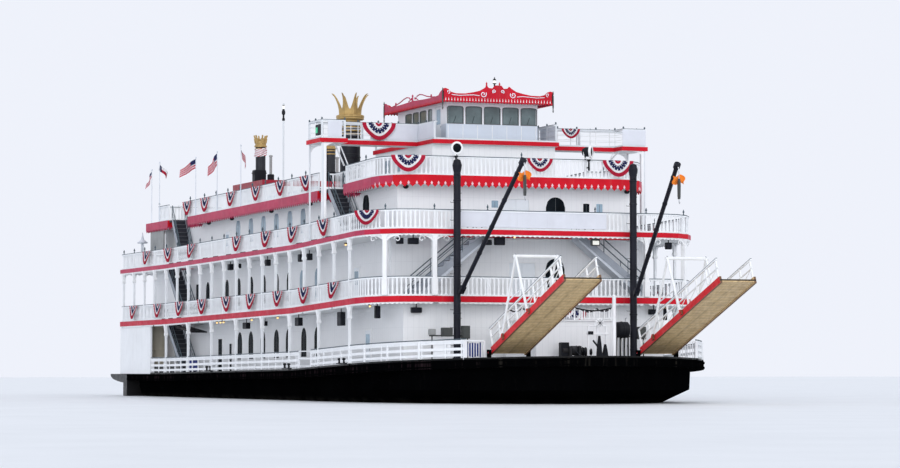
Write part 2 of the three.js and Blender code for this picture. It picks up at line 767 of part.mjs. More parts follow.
// Roof with its crest boards on the front and the sides
const ROOF = { aft: 5.45, front: 15.57, half: 3.5 };
const roofPlate = box(ROOF.aft, ROOF.front, -ROOF.half, ROOF.half, EAVE, EAVE + 0.2);
const CREST_LOW = 0.4;
const crest = (reach, end, peak) => [
  [-reach, EAVE - 0.05],
  [reach, EAVE - 0.05],
  [reach, EAVE + end * 0.9],
  [reach * 0.97, EAVE + end],
  [reach * 0.91, EAVE + end * 0.9],
  [reach * 0.86, EAVE + CREST_LOW],
  [reach * 0.4, EAVE + CREST_LOW],
  [reach * 0.2, EAVE + peak * 0.85],
  [reach * 0.07, EAVE + peak],
  [-reach * 0.07, EAVE + peak],
  [-reach * 0.2, EAVE + peak * 0.85],
  [-reach * 0.4, EAVE + CREST_LOW],
  [-reach * 0.86, EAVE + CREST_LOW],
  [-reach * 0.91, EAVE + end * 0.9],
  [-reach * 0.97, EAVE + end],
  [-reach, EAVE + end * 0.9],
];
const frontCrest = along(crest(ROOF.half, 0.72, 0.97), ROOF.front - 0.1, ROOF.front);
const aftCrest = along(crest(ROOF.half, 0.6, 0.7), ROOF.aft, ROOF.aft + 0.1);
const roofMiddle = (ROOF.aft + ROOF.front) / 2;
const sideProfile = crest((ROOF.front - ROOF.aft) / 2, 0.6, 0.75).map(([a, z]) => [roofMiddle + a, z]);
const sideCrests = [
  across(sideProfile, -ROOF.half, -ROOF.half + 0.1),
  across(sideProfile, ROOF.half - 0.1, ROOF.half),
];
add("wheelhouse_roof", joined([roofPlate, frontCrest, aftCrest, ...sideCrests]), RED);

// Chimneys
const CASING = { aft: -26.2, front: -19.2, half: 3.6, top: 15.0 };
const casing = upright(
  [
    [CASING.aft, -CASING.half],
    [CASING.front, -CASING.half],
    [CASING.front, CASING.half],
    [CASING.aft, CASING.half],
  ],
  5,
  CASING.top,
).intersect(band((x) => topOf(FOURTH, x) + GAP, () => CASING.top));
const casingRoom = box(-26.0, -19.4, -3.4, 3.4, 5, CASING.top - 0.2);
const casingDoor = box(-19.9, -19, -0.8, 0.8, 5, 14.5);
const aftStacks = [casing.subtract(casingRoom).subtract(casingDoor)];
for (const [name, side] of SIDES) {
  const large = {
    x: 3.4,
    y: side * 5.0,
    low: topOf(FOURTH, 4.3) + GAP,
    neck: 17.2,
    radius: 0.63,
    crownLow: 17.4,
    crownHigh: 18.95,
    ring: 0.88,
    spread: 1.2,
    points: 8,
  };
  add(`smokestack_${name}`, smokestack(large), BLACK, 0.4);
  const small = {
    x: -22.8,
    y: side * 2.6,
    low: CASING.top - 0.1,
    neck: 17.5,
    radius: 0.35,
    crownLow: 17.62,
    crownHigh: 18.35,
    ring: 0.42,
    spread: 0.48,
    points: 6,
  };
  aftStacks.push(smokestack(small));
}
add("aft_smokestacks", joined(aftStacks), WHITE);

// Stairs
sideStairs();

// Railings, with the posts that carry the deck above
const bayLines = [];
for (let k = 0; k <= BAYS; k++) {
  bayLines.push(FIRST_BAY + k * BAY);
}
const EDGE = HALF_BEAM - 0.15;
const GATE = { aft: 9.05, front: 11.35 };
const ends = [
  [GATE.aft - 0.06, EDGE],
  [GATE.front + 0.06, EDGE],
];
const mirrored = (rows) => SIDES.flatMap(([, side]) => rows.map(([x, y]) => [x, side * y]));
const mainRail = railing({
  outline: mainOutline,
  deck: MAIN,
  above: SECOND,
  tall: mirrored(bayLines.filter((x, k) => k % 2 === 0).map((x) => [x, EDGE])),
  short: mirrored([...ends, [-23.7, EDGE], [20.2, 9.95], [22.6, 9.45], [25.2, 8.56]]),
  gaps: [
    [-31, -24.05, -11, 11],
    [28, 33, -11, 11],
    [GATE.aft, GATE.front, -11, -9],
    [GATE.aft, GATE.front, 9, 11],
  ],
}).subtract(box(-31, -24.05, -11, 11, -5, 25));
const rampEnds = SIDES.map(([, side]) => {
  const deckZ = topOf(MAIN, 27.85);
  const [near, far] = side > 0 ? [5.75, 6.95] : [-6.95, -5.75];
  const bar = box(27.86, 27.96, near, far, deckZ + RAIL.low, deckZ + RAIL.high);
  const foot = box(27.86, 27.96, near, far, deckZ + 0.02, deckZ + RAIL.toe);
  const inner = box(27.86, 27.96, side * 5.8 - 0.05, side * 5.8 + 0.05, deckZ + 0.02, deckZ + RAIL.high);
  const outer = box(27.86, 27.96, side * 6.88 - 0.08, side * 6.88 + 0.08, deckZ + 0.02, deckZ + RAIL.high);
  return joined([bar, foot, inner, outer]);
});
add("main_deck_railing", joined([mainRail, ...rampEnds]), WHITE);

const frontPosts = [
  [22.15, 6.5],
  [21.5, 9.18],
];
const sternPosts = [-31.5, -28.65, -25.85, -23.1].map((x) => [x, EDGE]);
const upperPosts = mirrored([...bayLines.map((x) => [x, EDGE]), ...sternPosts, ...frontPosts]);
const crossPosts = [-1, 0, 1].map((k) => [-31.85, k * 5]);
add(
  "second_deck_railing",
  railing({
    outline: upperOutline,
    deck: SECOND,
    above: THIRD,
    tall: [...upperPosts, ...crossPosts],
    short: mirrored([[22.15, 3.3]]).concat([[22.15, 0]]),
    gaps: [],
  }),
  WHITE,
);
add(
  "third_deck_railing",
  railing({
    outline: upperOutline,
    deck: THIRD,
    above: FOURTH,
    tall: [],
    short: [...upperPosts, ...crossPosts, ...mirrored([[22.15, 3.3]]), [22.15, 0]],
    gaps: [],
  }),
  WHITE,
);
const innerEdge = FOURTH_HALF - 0.15;
const fourthPosts = [-28.9, -26.35, -20.95, -17.46, -14.7, -11.97, -9.2, -6.5, -3.7, -1, 1.75]
  .concat([4.5, 7.05, 12.15, 15.6])
  .map((x) => [x, innerEdge]);
add(
  "fourth_deck_railing",
  railing({
    outline: fourthRailOutline,
    deck: FOURTH,
    above: FOURTH,
    tall: [],
    short: [
      ...mirrored(fourthPosts),
      ...mirrored([[19.15, 4.0], [-28.9, 3]]),
      [19.15, 0],
    ],
    gaps: NOTCHES.flatMap(([aft]) => [
      [aft - 0.25, aft - 0.05, -8.2, -7.6],
      [aft - 0.25, aft - 0.05, 7.6, 8.2],
    ]),
  }),
  WHITE,
);

// Boarding gates on the main deck
for (const [name, side] of SIDES) {
  const deckZ = topOf(MAIN, GATE.front);
  const y = side * EDGE;
  const frame = box(GATE.aft + 0.02, GATE.front - 0.02, y - 0.04, y + 0.04, deckZ + 0.14, deckZ + 1.07);
  const cuts = [0.06, 0.52].map((low) =>
    box(GATE.aft + 0.1, GATE.front - 0.1, y - 1, y + 1, deckZ + 0.14 + low, deckZ + 0.5 + low),
  );
  const hinge = GATE.aft + 0.06;
  const foot = topOf(MAIN, hinge + 0.03) + RAIL.toe + GAP;
  const pin = rod([hinge, y, foot], [hinge, y, deckZ + 0.5], 0.03, 8);
  add(`boarding_gate_${name}`, frame.subtract(joined(cuts)).add(pin), WHITE);
}

// Masts, booms and gangways
for (const [name, side] of SIDES) {
  add(`mast_${name}`, mast(side), BLACK, 0.4);
  const heading = boomHeading(side);
  const heel = [
    MAST.x + BOOM.heelOut * Math.cos(heading),
    side * MAST.y + BOOM.heelOut * Math.sin(heading),
    BOOM.heelZ,
  ];
  const spread = Math.hypot(BOOM.tipX - heel[0], side * BOOM.tipY - heel[1]);
  const pitch = Math.atan2(BOOM.tipZ - heel[2], spread);
  const length = Math.hypot(spread, BOOM.tipZ - heel[2]);
  raised(`boom_${name}`, boomBody(length), BLACK, heel, heading, pitch, 0.4);
  const slope = Math.atan2(GANGWAY.tipZ - GANGWAY.z, GANGWAY.tipX - GANGWAY.x);
  const stage = Math.hypot(GANGWAY.tipZ - GANGWAY.z, GANGWAY.tipX - GANGWAY.x);
  const foot = [GANGWAY.x, side * GANGWAY.y, GANGWAY.z + HINGE.rise];
  raised(`gangway_${name}`, gangwayBody(stage), TAN, foot, 0, slope, 0.6);
}

// Foredeck house and anchor windlass
const FORE = { aft: 22.5, front: 26.9, half: 2.35, top: 4.6 };
const foreHouse = box(FORE.aft, FORE.front, -FORE.half, FORE.half, 0, FORE.top);
const foreRoom = box(FORE.aft + 0.12, FORE.front - 0.12, 0.12 - FORE.half, FORE.half - 0.12, 0, 4.48);
const foreDoor = box(FORE.aft - 0.1, FORE.aft + 0.3, -0.5, 0.5, 0, 4.2);
const foreBand = band((x) => topOf(MAIN, x) + GAP, () => FORE.top);
add("foredeck_house", foreHouse.subtract(foreRoom).subtract(foreDoor).intersect(foreBand), WHITE);
const windlassZ = topOf(MAIN, 28.3) + GAP;
const windlass = joined([
  box(27.3, 28.3, -1.0, 0.0, windlassZ, windlassZ + 0.15),
  box(27.5, 28.1, -0.85, -0.7, windlassZ, windlassZ + 0.75),
  box(27.5, 28.1, -0.3, -0.15, windlassZ, windlassZ + 0.75),
  rod([27.8, -1.15, windlassZ + 0.5], [27.8, 0.15, windlassZ + 0.5], 0.16, 12),
  rod([27.8, -0.65, windlassZ + 0.5], [27.8, -0.35, windlassZ + 0.5], 0.26, 12),
]);
add("anchor_windlass", windlass, BLACK, 0.5);

// Stern wheel and rudders
const wheelPlace = new THREE.Group();
wheelPlace.position.set(WHEEL.x * MODEL, 0, WHEEL.z * MODEL);
OUT.add(wheelPlace);
add("paddle_wheel", paddleWheel(), WHITE, 0.5, 0, wheelPlace);
for (const [name, side] of SIDES) {
  add(`rudder_${name}`, rudder(side), GREY, 0.6);
}

export default OUT;
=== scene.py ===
import math
import random
import bmesh
import bpy
from mathutils import Matrix, Vector


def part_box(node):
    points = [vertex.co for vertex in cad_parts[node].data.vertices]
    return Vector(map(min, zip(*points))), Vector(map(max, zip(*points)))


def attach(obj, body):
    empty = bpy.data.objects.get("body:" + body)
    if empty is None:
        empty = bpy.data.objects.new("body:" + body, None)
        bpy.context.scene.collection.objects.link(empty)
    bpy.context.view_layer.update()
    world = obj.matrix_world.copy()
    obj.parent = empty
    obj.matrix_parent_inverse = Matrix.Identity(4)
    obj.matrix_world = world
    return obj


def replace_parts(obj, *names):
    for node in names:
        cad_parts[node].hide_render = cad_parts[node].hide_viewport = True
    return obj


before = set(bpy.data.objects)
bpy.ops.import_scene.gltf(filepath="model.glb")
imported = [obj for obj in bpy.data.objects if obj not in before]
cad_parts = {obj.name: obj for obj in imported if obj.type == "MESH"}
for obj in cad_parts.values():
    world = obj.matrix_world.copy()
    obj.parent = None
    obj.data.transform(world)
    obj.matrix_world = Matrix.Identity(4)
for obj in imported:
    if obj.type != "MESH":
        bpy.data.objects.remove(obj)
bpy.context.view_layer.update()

# Sizes are metres of the full-size ship, x to the bow, y to port, z up from the waterline.
# The model is half of that, and the materials' own sizes are metres of the model.
SCALE = 0.5
PI = math.pi
SIDES = (("starboard", -1), ("port", 1))
# Rise of the decks towards the bow: x, height
SHEER = ((-36, 0), (-20, 0), (8, 0.24), (35, 1.03))
# Decks: height of the top at the stern, share of the sheer, thickness
DECKS = {
    "main": (1.57, 1.0, 0.45),
    "second": (5.32, 1.0, 0.34),
    "third": (9.07, 1.0, 0.28),
    "fourth": (12.43, 0.92, 0.48),
    "bridge": (15.33, 0.0, 0.25),
}
BEAM = 10.3
POST_LINE = BEAM - 0.15
BAYS = [-20.2 + 2.745 * k for k in range(15)]
STERN_POSTS = [-31.5, -28.65, -25.85, -23.1]
FRONT_POSTS = [(22.15, 6.5), (21.5, 9.18)]
AFT_POSTS = [(-31.85, -5), (-31.85, 0), (-31.85, 5)]
# Stair openings of the fourth deck and the boarding gates: aft end, fore end
NOTCHES = ((-26.2, -21.1), (7.2, 12.0))
GATE = (9.05, 11.35)
# Houses: aft wall, fore wall, distance of the side walls from the middle
LOWER = (-29.4, 21.2, 8.0)
SALOON = (-31.4, 19.2, 8.0)
TEXAS = (-30.7, 18.3, 7.3)
BRIDGE_HOUSE = (5.0, 15.3, 3.9)
CAB = (6.3, 14.6, 2.9)
CAB_SILL = 16.35
EAVE = 17.6
ROOF = (5.45, 15.57, 3.5)
MAST = (22.8, 5.39)
BOOM_HEEL = 6.2
BOOM_TIP = (30.5, 4.55, 13.1)
GANGWAY_FOOT = (28.05, 4.42, 2.79)
GANGWAY_RUN, GANGWAY_CLIMB = 38.1 - 28.05, 6.38 - 2.69
SLOPE = math.atan2(GANGWAY_CLIMB, GANGWAY_RUN)
TALL_STACK = (3.4, 5.0)
AFT_STACK = (-22.8, 2.6)
WHEEL_X, WHEEL_Z = -32.7, 2.1


def rise(x):
    for (x0, z0), (x1, z1) in zip(SHEER, SHEER[1:]):
        if x <= x1:
            return z0 + (z1 - z0) * (x - x0) / (x1 - x0)
    return SHEER[-1][1]


def top(deck, x):
    height, share, _ = DECKS[deck]
    return height + share * rise(x)


def under(deck, x):
    return top(deck, x) - DECKS[deck][2]


# Plan outlines of the decks, moved inwards
def arc(cx, cy, r, start):
    return [(cx + r * math.cos(start + k * PI / 8), cy + r * math.sin(start + k * PI / 8)) for k in range(5)]


def upper_ring(inset):
    h, f, r = BEAM - inset, 22.3 - inset, 2.8 - inset
    return [(-32 + inset, -h), *arc(f - r, r - h, r, -PI / 2), *arc(f - r, h - r, r, 0), (-32 + inset, h)]


def mirror_line(side):
    return side + [(x, -y) for x, y in reversed(side)]


def fourth_ring(inset):
    h, n, f, r = 8.4 - inset, 7.36 - inset, 19.3 - inset, 2.4 - inset
    side = [(-32 + inset, -h)]
    for aft, fore in NOTCHES:
        side += [(aft - inset, -h), (aft - inset, -n), (fore + inset, -n), (fore + inset, -h)]
    return mirror_line(side + arc(f - r, r - h, r, -PI / 2))


def fourth_rail_ring(inset):
    return [(max(x, inset - 29.05), y) for x, y in fourth_ring(inset)]


def main_ring(inset):
    angles = [k * PI / 24 for k in range(13)]
    side = [(17.5 + (14.3 - inset) * math.sin(a), (BEAM - inset) * math.cos(a)) for a in angles]
    side[12] = (31.8 - inset, 0)
    aft = -30 + inset
    return [(aft, inset - BEAM), *[(x, -y) for x, y in side], *reversed(side[:12]), (aft, BEAM - inset)]


def main_half(inset, side):
    """One side's half of the main deck's outline, from the stern to the bow."""
    points = [p for p in main_ring(inset) if p[1] * side > 0 or p[1] == 0]
    return sorted(points, key=lambda p: (p[0], -abs(p[1])))


def bridge_ring(i):
    return mirror_line([(4.8 + i, i - 4), (11.24 + i, i - 4), (11.24 + i, i - 10.45), (13.85 - i, i - 10.45),
                        (13.85 - i, -8.75 - i), (12.6 - i, -8.75 - i), (12.6 - i, i - 4), (15.3 - i, i - 4)])


def walk(ring, pitch, closed=True):
    """Evenly spread points along a polyline: x, y, heading, step."""
    ends = ring[1:] + ring[:1] if closed else ring[1:]
    for (x0, y0), (x1, y1) in zip(ring, ends):
        length = math.hypot(x1 - x0, y1 - y0)
        if length < 1e-6:
            continue
        count = max(1, round(length / pitch))
        for k in range(count):
            t = (k + 0.5) / count
            yield x0 + (x1 - x0) * t, y0 + (y1 - y0) * t, math.atan2(y1 - y0, x1 - x0), length / count


def between(points, x0, x1):
    """Part of a side's polyline between two x, cut at its ends and at the bends of the sheer."""
    out = []
    for (ax, ay), (bx, by) in zip(points, points[1:]):
        lo, hi = max(min(ax, bx), x0), min(max(ax, bx), x1)
        if hi - lo < 1e-6:
            continue
        stops = sorted({lo, hi, *[s for s, _ in SHEER if lo < s < hi]}, reverse=bx < ax)
        for s in stops:
            p = (s, ay + (by - ay) * (s - ax) / (bx - ax))
            if not out or math.hypot(p[0] - out[-1][0], p[1] - out[-1][1]) > 1e-4:
                out.append(p)
    return out


def bent(ring):
    """The closed outline with a point wherever the sheer bends."""
    out = []
    for a, b in zip(ring, ring[1:] + ring[:1]):
        out.append(a)
        cuts = [s for s, _ in SHEER if min(a[0], b[0]) + 1e-6 < s < max(a[0], b[0]) - 1e-6]
        for s in sorted(cuts, reverse=b[0] < a[0]):
            out.append((s, a[1] + (b[1] - a[1]) * (s - a[0]) / (b[0] - a[0])))
    return out


# Materials
class Graph:
    """Node tree of one material. Its coordinates are metres of the model."""

    def __init__(self, name):
        self.material = bpy.data.materials.new(name)
        self.material.use_nodes = True
        self.tree = self.material.node_tree
        self.shader = self.tree.nodes["Principled BSDF"]
        coordinates = self.node("TexCoord")
        self.place = coordinates.outputs["Object"]
        self.normal = coordinates.outputs["Normal"]

    def node(self, kind, **values):
        made = self.tree.nodes.new("ShaderNode" + kind)
        for key, value in values.items():
            setattr(made, key, value)
        return made

    def feed(self, socket, value):
        if isinstance(value, bpy.types.NodeSocket):
            self.tree.links.new(value, socket)
        elif value is not None:
            socket.default_value = value

    def calc(self, operation, a, b=None, c=None, clamp=False):
        made = self.node("Math", operation=operation, use_clamp=clamp)
        for socket, value in zip(made.inputs, (a, b, c)):
            self.feed(socket, value)
        return made.outputs[0]

    def times(self, a, b):
        return self.calc("MULTIPLY", a, b)

    def most(self, a, b):
        return self.calc("MAXIMUM", a, b)

    def size(self, a):
        return self.calc("ABSOLUTE", a)

    def rest(self, a):
        return self.calc("SUBTRACT", 1.0, a)

    def dot(self, vector, *axis):
        made = self.node("VectorMath", operation="DOT_PRODUCT")
        self.feed(made.inputs[0], vector)
        made.inputs[1].default_value = axis
        return made.outputs["Value"]

    def x(self):
        return self.dot(self.place, 1, 0, 0)

    def y(self):
        return self.dot(self.place, 0, 1, 0)

    def z(self):
        return self.dot(self.place, 0, 0, 1)

    def faces(self, *axis):
        """How far the surface faces along an axis, either way."""
        return self.size(self.dot(self.normal, *axis))

    def step(self, value, edge, width=0.002):
        """0 below the edge and 1 above it."""
        return self.calc("MULTIPLY_ADD", value, 1 / width, -edge / width + 0.5, clamp=True)

    def inside(self, value, low, high, width=0.002):
        return self.times(self.step(value, low, width), self.rest(self.step(value, high, width)))

    def noise(self, scale, detail=3, stretch=(1, 1, 1), rough=0.55):
        mapping = self.node("Mapping")
        self.feed(mapping.inputs["Vector"], self.place)
        mapping.inputs["Scale"].default_value = stretch
        made = self.node("TexNoise")
        self.feed(made.inputs["Vector"], mapping.outputs[0])
        for key, value in (("Scale", scale), ("Detail", detail), ("Roughness", rough)):
            made.inputs[key].default_value = value
        return made.outputs["Fac"]

    def spread(self, value, low, high, out_low=0.0, out_high=1.0):
        made = self.node("MapRange")
        for socket, number in zip(made.inputs, (value, low, high, out_low, out_high)):
            self.feed(socket, number)
        return made.outputs[0]

    def mix(self, factor, a, b):
        made = self.node("MixRGB")
        for socket, value in zip(made.inputs, (factor, a, b)):
            self.feed(socket, (*value, 1) if isinstance(value, tuple) else value)
        return made.outputs[0]

    def lines(self, value, pitch, width):
        """1 on thin lines at an even pitch."""
        part = self.calc("FRACT", self.calc("MULTIPLY_ADD", value, 1 / pitch, 100.25))
        return self.calc("LESS_THAN", self.size(self.calc("SUBTRACT", part, 0.5)), width / pitch / 2)

    def boards(self, pitch, width=0.006):
        """Upright joints on walls that face any side, none on flat faces."""
        joints = []
        for place, axis in ((self.x(), (0, 1, 0)), (self.y(), (1, 0, 0))):
            joints.append(self.times(self.lines(place, pitch, width),
                                     self.calc("GREATER_THAN", self.faces(*axis), 0.7)))
        return self.times(self.calc("ADD", *joints), self.calc("LESS_THAN", self.faces(0, 0, 1), 0.5))

    def finish(self, colour, rough=0.4, rough_vary=0.12, bump=None, depth=0.002, metal=0.0, coat=0.0,
               grain=40, gloss=0.3):
        """Gives the shader its colour, worn roughness and a bump of fine grain and joints."""
        put = self.shader.inputs
        self.feed(put["Base Color"], (*colour, 1) if isinstance(colour, tuple) else colour)
        worn = self.spread(self.noise(5.0, 4), 0.3, 0.7, rough - rough_vary, rough + rough_vary)
        self.feed(put["Roughness"], worn)
        for key, value in (("Metallic", metal), ("Coat Weight", coat), ("Specular IOR Level", gloss)):
            put[key].default_value = value
        height = self.noise(grain, 3)
        if bump is not None:
            height = self.calc("MULTIPLY_ADD", bump, -3.0, height)
        made = self.node("Bump")
        for key, value in (("Distance", depth), ("Strength", 0.5), ("Height", height)):
            self.feed(made.inputs[key], value)
        self.feed(put["Normal"], made.outputs[0])
        return self.material


def shade(colour, factor):
    return tuple(min(1.0, c * factor) for c in colour)


GRIME = (0.28, 0.25, 0.2)


def toned(graph, colour, vary=0.08, scale=1.2, streak=0.0, dirt=GRIME):
    """A paint colour with slow changes of tone and, if asked, runs of grime down the face."""
    slow = graph.spread(graph.noise(scale, 4), 0.3, 0.7)
    tone = graph.mix(slow, shade(colour, 1 - vary), shade(colour, 1 + vary))
    if streak:
        run = graph.noise(1.0, 4, (7, 7, 0.5), 0.65)
        tone = graph.mix(graph.spread(run, 0.55, 0.85, 0.0, streak), tone, dirt)
    return tone


def paint(name, colour, rough=0.4, vary=0.08, scale=1.2, streak=0.0, dirt=GRIME, depth=0.001, **rest):
    graph = Graph(name)
    tone = toned(graph, colour, vary, scale, streak, dirt)
    return graph.finish(tone, rough, min(0.12, rough * 0.4), None, depth, **rest)


def glow(name, colour, strength):
    graph = Graph(name)
    graph.shader.inputs["Emission Color"].default_value = (*colour, 1)
    graph.shader.inputs["Emission Strength"].default_value = strength
    return graph.finish(graph.mix(graph.noise(30, 2), colour, shade(colour, 0.85)), 0.25)


RED = (0.56, 0.006, 0.020)
FASCIA_RED = (0.60, 0.005, 0.018)
# The next two reds colour the faces that look to the sides: painted shade, and the pinker one also a painted
# sheen
SHADED_SHEEN_RED = (0.46, 0.045, 0.10)
SHADED_SIDE_RED = (0.50, 0.018, 0.045)
HULL_BLACK = (0.0012, 0.0013, 0.0016)
RAIL_WHITE = (0.84, 0.86, 0.88)
GOLD = (0.44, 0.30, 0.115)

white = paint("trim_white", (0.86, 0.87, 0.88), 0.38, 0.05, 2.0, 0.10)
rail_white = paint("rail_white_paint", RAIL_WHITE, 0.4, 0.05, 3.0, 0.12)
panel_white = paint("board_white", (0.68, 0.70, 0.76), 0.45, 0.05, 2.0, 0.1)
scroll_white = paint("scroll_white", (0.80, 0.85, 0.92), 0.5, 0.05, 3.0)
string_white = paint("stair_strings", (0.62, 0.66, 0.72), 0.45, 0.1, 2.0, 0.25)
door_paint = paint("door_white_paint", (0.80, 0.84, 0.88), 0.4, 0.05, 2.0, 0.1)
red = paint("red_trim", (0.52, 0.006, 0.022), 0.45, 0.12, 3.0, 0.1, gloss=0.2)
roof_red = paint("roof_red_paint", (0.50, 0.010, 0.045), 0.45, 0.1, 2.0, 0.2, gloss=0.2)
fascia_red = paint("fascia_red", FASCIA_RED, 0.45, 0.1, 3.0, gloss=0.15)
# Pink red for red faces in shade: painted shade and painted sheen
fascia_shade_sheen = paint("fascia_red_painted_shade_sheen", SHADED_SHEEN_RED, 0.45, 0.1, 3.0, gloss=0.15)
fascia_pink = paint("fascia_pale", (0.80, 0.55, 0.60), 0.5, 0.1, 3.0)
black = paint("black_fittings", (0.010, 0.011, 0.015), 0.5, 0.25, 4.0, gloss=0.15)
mast_black = paint("mast_black_paint", (0.011, 0.012, 0.019), 0.45, 0.3, 2.0, gloss=0.15)
cap_paint = paint("rail_cap", (0.07, 0.10, 0.12), 0.38, 0.2, 4.0)
steel = paint("bright_steel", (0.55, 0.57, 0.60), 0.3, 0.12, 6.0, metal=0.8, grain=90)
rust_steel = paint("anchor_steel", (0.02, 0.021, 0.023), 0.6, 0.4, 8.0, 0.2, (0.12, 0.05, 0.02))
grey = paint("grey_boxes", (0.30, 0.31, 0.31), 0.5, 0.12, 3.0, 0.2)
rudder_grey = paint("rudder_grey_paint", (0.20, 0.21, 0.215), 0.55, 0.2, 3.0, 0.4)
string_grey = paint("stair_side_grey", (0.34, 0.37, 0.42), 0.5, 0.12, 2.0, 0.25)
bar_grey = paint("glazing_bars", (0.10, 0.115, 0.12), 0.5, 0.15, 5.0)
nosing = paint("stair_nosing", (0.10, 0.105, 0.12), 0.6, 0.2, 6.0)
olive = paint("dark_boxes", (0.055, 0.06, 0.058), 0.5, 0.2, 3.0, 0.1)
cream = paint("cream_tank", (0.66, 0.60, 0.48), 0.5, 0.08, 1.5, 0.25)
gold = paint("crown_gold", GOLD, 0.46, 0.18, 4.0, 0.3, (0.14, 0.08, 0.03), metal=0.35)
blue_canvas = paint("blue_canvas", (0.02, 0.035, 0.17), 0.8, 0.15, 5.0, grain=200)
flag_orange = paint("signal_flag", (0.85, 0.22, 0.02), 0.75, 0.15, 12.0, grain=300)
glass_dark = paint("window_glass", (0.010, 0.013, 0.017), 0.3, 0.5, 1.5, depth=0.0004, grain=6, gloss=0.01)
# Light blue opaque panes: painted reflection of the sky
glass_blue = paint("cabin_glass", (0.27, 0.38, 0.47), 0.2, 0.3, 1.3, depth=0.0004, grain=6)
# Mid grey opaque panes with soft streaks and a coat: painted reflection
glass_grey = paint("wheelhouse_glass", (0.115, 0.155, 0.16), 0.15, 0.4, 1.6, depth=0.0004, coat=0.3, grain=6)
lamp_warm = glow("lamp_warm", (1.0, 0.62, 0.22), 1.6)
lamp_white = glow("lamp_white", (0.9, 0.9, 0.82), 0.35)
lens_green = glow("lens_green", (0.02, 0.5, 0.22), 0.25)
lens_red = glow("lens_red", (0.65, 0.02, 0.02), 0.25)


def cloth(name, colour):
    graph = Graph(name)
    weave = graph.calc("ADD", graph.lines(graph.z(), 0.004, 0.002), graph.lines(graph.x(), 0.004, 0.002))
    return graph.finish(toned(graph, colour, 0.12, 9.0), 0.78, 0.08, weave, 0.0006, grain=220)


CLOTHS = (cloth("bunting_red", (0.44, 0.006, 0.035)), cloth("bunting_white", (0.82, 0.82, 0.84)),
          cloth("bunting_blue", (0.010, 0.014, 0.075)))


def hull_look():
    """Black plates with scum at the waterline, thin rust runs and a red-brown bottom."""
    g = Graph("hull_black_paint")
    plates = g.most(g.lines(g.x(), 1.25, 0.006), g.lines(g.z(), 0.42, 0.005))
    tone = toned(g, HULL_BLACK, 0.35, 0.9)
    scum = g.times(g.spread(g.z(), 0.02, 0.16, 1.0, 0.0), g.spread(g.noise(2.2, 5), 0.4, 0.75))
    tone = g.mix(g.times(scum, 0.55), tone, (0.035, 0.033, 0.028))
    run = g.spread(g.noise(1.0, 4, (9, 9, 0.7), 0.7), 0.62, 0.85, 0.0, 0.35)
    tone = g.mix(run, tone, (0.02, 0.017, 0.015))
    tone = g.mix(g.rest(g.step(g.z(), -0.01, 0.01)), tone, (0.10, 0.028, 0.022))
    return g.finish(tone, 0.5, 0.1, plates, 0.002, grain=18, gloss=0.0)


def deck_look(name, edge, shaded_side_edge, painted=None, ceiling=(0.80, 0.81, 0.81)):
    """Worn grey top, ceiling below, and an edge that is red or black between the painted heights. Faces that
    look to the sides take a second edge colour that is painted shade, with pale runs that are a painted
    sheen.
    """
    g = Graph(name + "_deck_paint")
    worn = g.mix(g.spread(g.noise(1.4, 5), 0.35, 0.7), (0.22, 0.235, 0.245), (0.31, 0.32, 0.32))
    seams = g.most(g.lines(g.x(), 1.2, 0.008), g.lines(g.y(), 0.9, 0.008))
    worn = g.mix(g.times(seams, 0.5), worn, (0.12, 0.13, 0.13))
    # Side faces: painted shade, with pale runs of painted sheen
    side = g.mix(g.step(g.faces(0, 1, 0), 0.8, 0.2), toned(g, edge, 0.12, 2.0, 0.12),
                 toned(g, shaded_side_edge, 0.12, 2.0, 0.12, (0.5, 0.3, 0.35)))
    tone = g.mix(g.step(g.dot(g.normal, 0, 0, 1), 0.5, 0.1), side, worn)
    below = g.mix(g.times(g.lines(g.x(), 0.6, 0.02), 0.21), toned(g, ceiling, 0.05, 1.0), (0.25, 0.26, 0.26))
    tone = g.mix(g.step(g.dot(g.normal, 0, 0, -1), 0.5, 0.1), tone, below)
    if painted:
        tone = g.mix(g.rest(g.inside(g.z(), *painted, 0.004)), tone, toned(g, (0.70, 0.73, 0.76), 0.06, 3.0))
    return g.finish(tone, 0.5, 0.1, seams, 0.0015, grain=50, gloss=0.0 if edge is HULL_BLACK else 0.15)


def house_look(name, colour=(0.86, 0.87, 0.885), pitch=0.17, shade_top=None):
    """White boards with upright joints and faint seams. If a height is given, the colour below it is painted
    shade and the boards above it are plain white.
    """
    g = Graph(name)
    joints = g.boards(pitch)
    tone = toned(g, colour, 0.035, 0.8, 0.10, (0.45, 0.45, 0.42))
    tone = g.mix(g.times(joints, 0.28), tone, (0.42, 0.45, 0.50))
    tone = g.mix(g.times(g.lines(g.z(), 0.94, 0.01), 0.18), tone, (0.5, 0.52, 0.55))
    # Below the given height the colour is painted shade, above it plain white
    if shade_top is not None:
        tone = g.mix(g.step(g.z(), shade_top, 0.004), tone, toned(g, (0.84, 0.85, 0.88), 0.04, 2.0))
    return g.finish(tone, 0.42, 0.1, joints, 0.002, grain=30)


def stack_look(crown_foot=8.59):
    g = Graph("smokestack_black")
    seams = g.lines(g.z(), 0.62, 0.012)
    tone = g.mix(g.times(seams, 0.6), toned(g, (0.010, 0.011, 0.016), 0.3, 2.0), (0.05, 0.05, 0.05))
    tone = g.mix(g.step(g.z(), crown_foot, 0.004), tone, toned(g, GOLD, 0.18, 4.0, 0.2, (0.12, 0.06, 0.02)))
    return g.finish(tone, 0.45, 0.1, seams, 0.002, gloss=0.2)


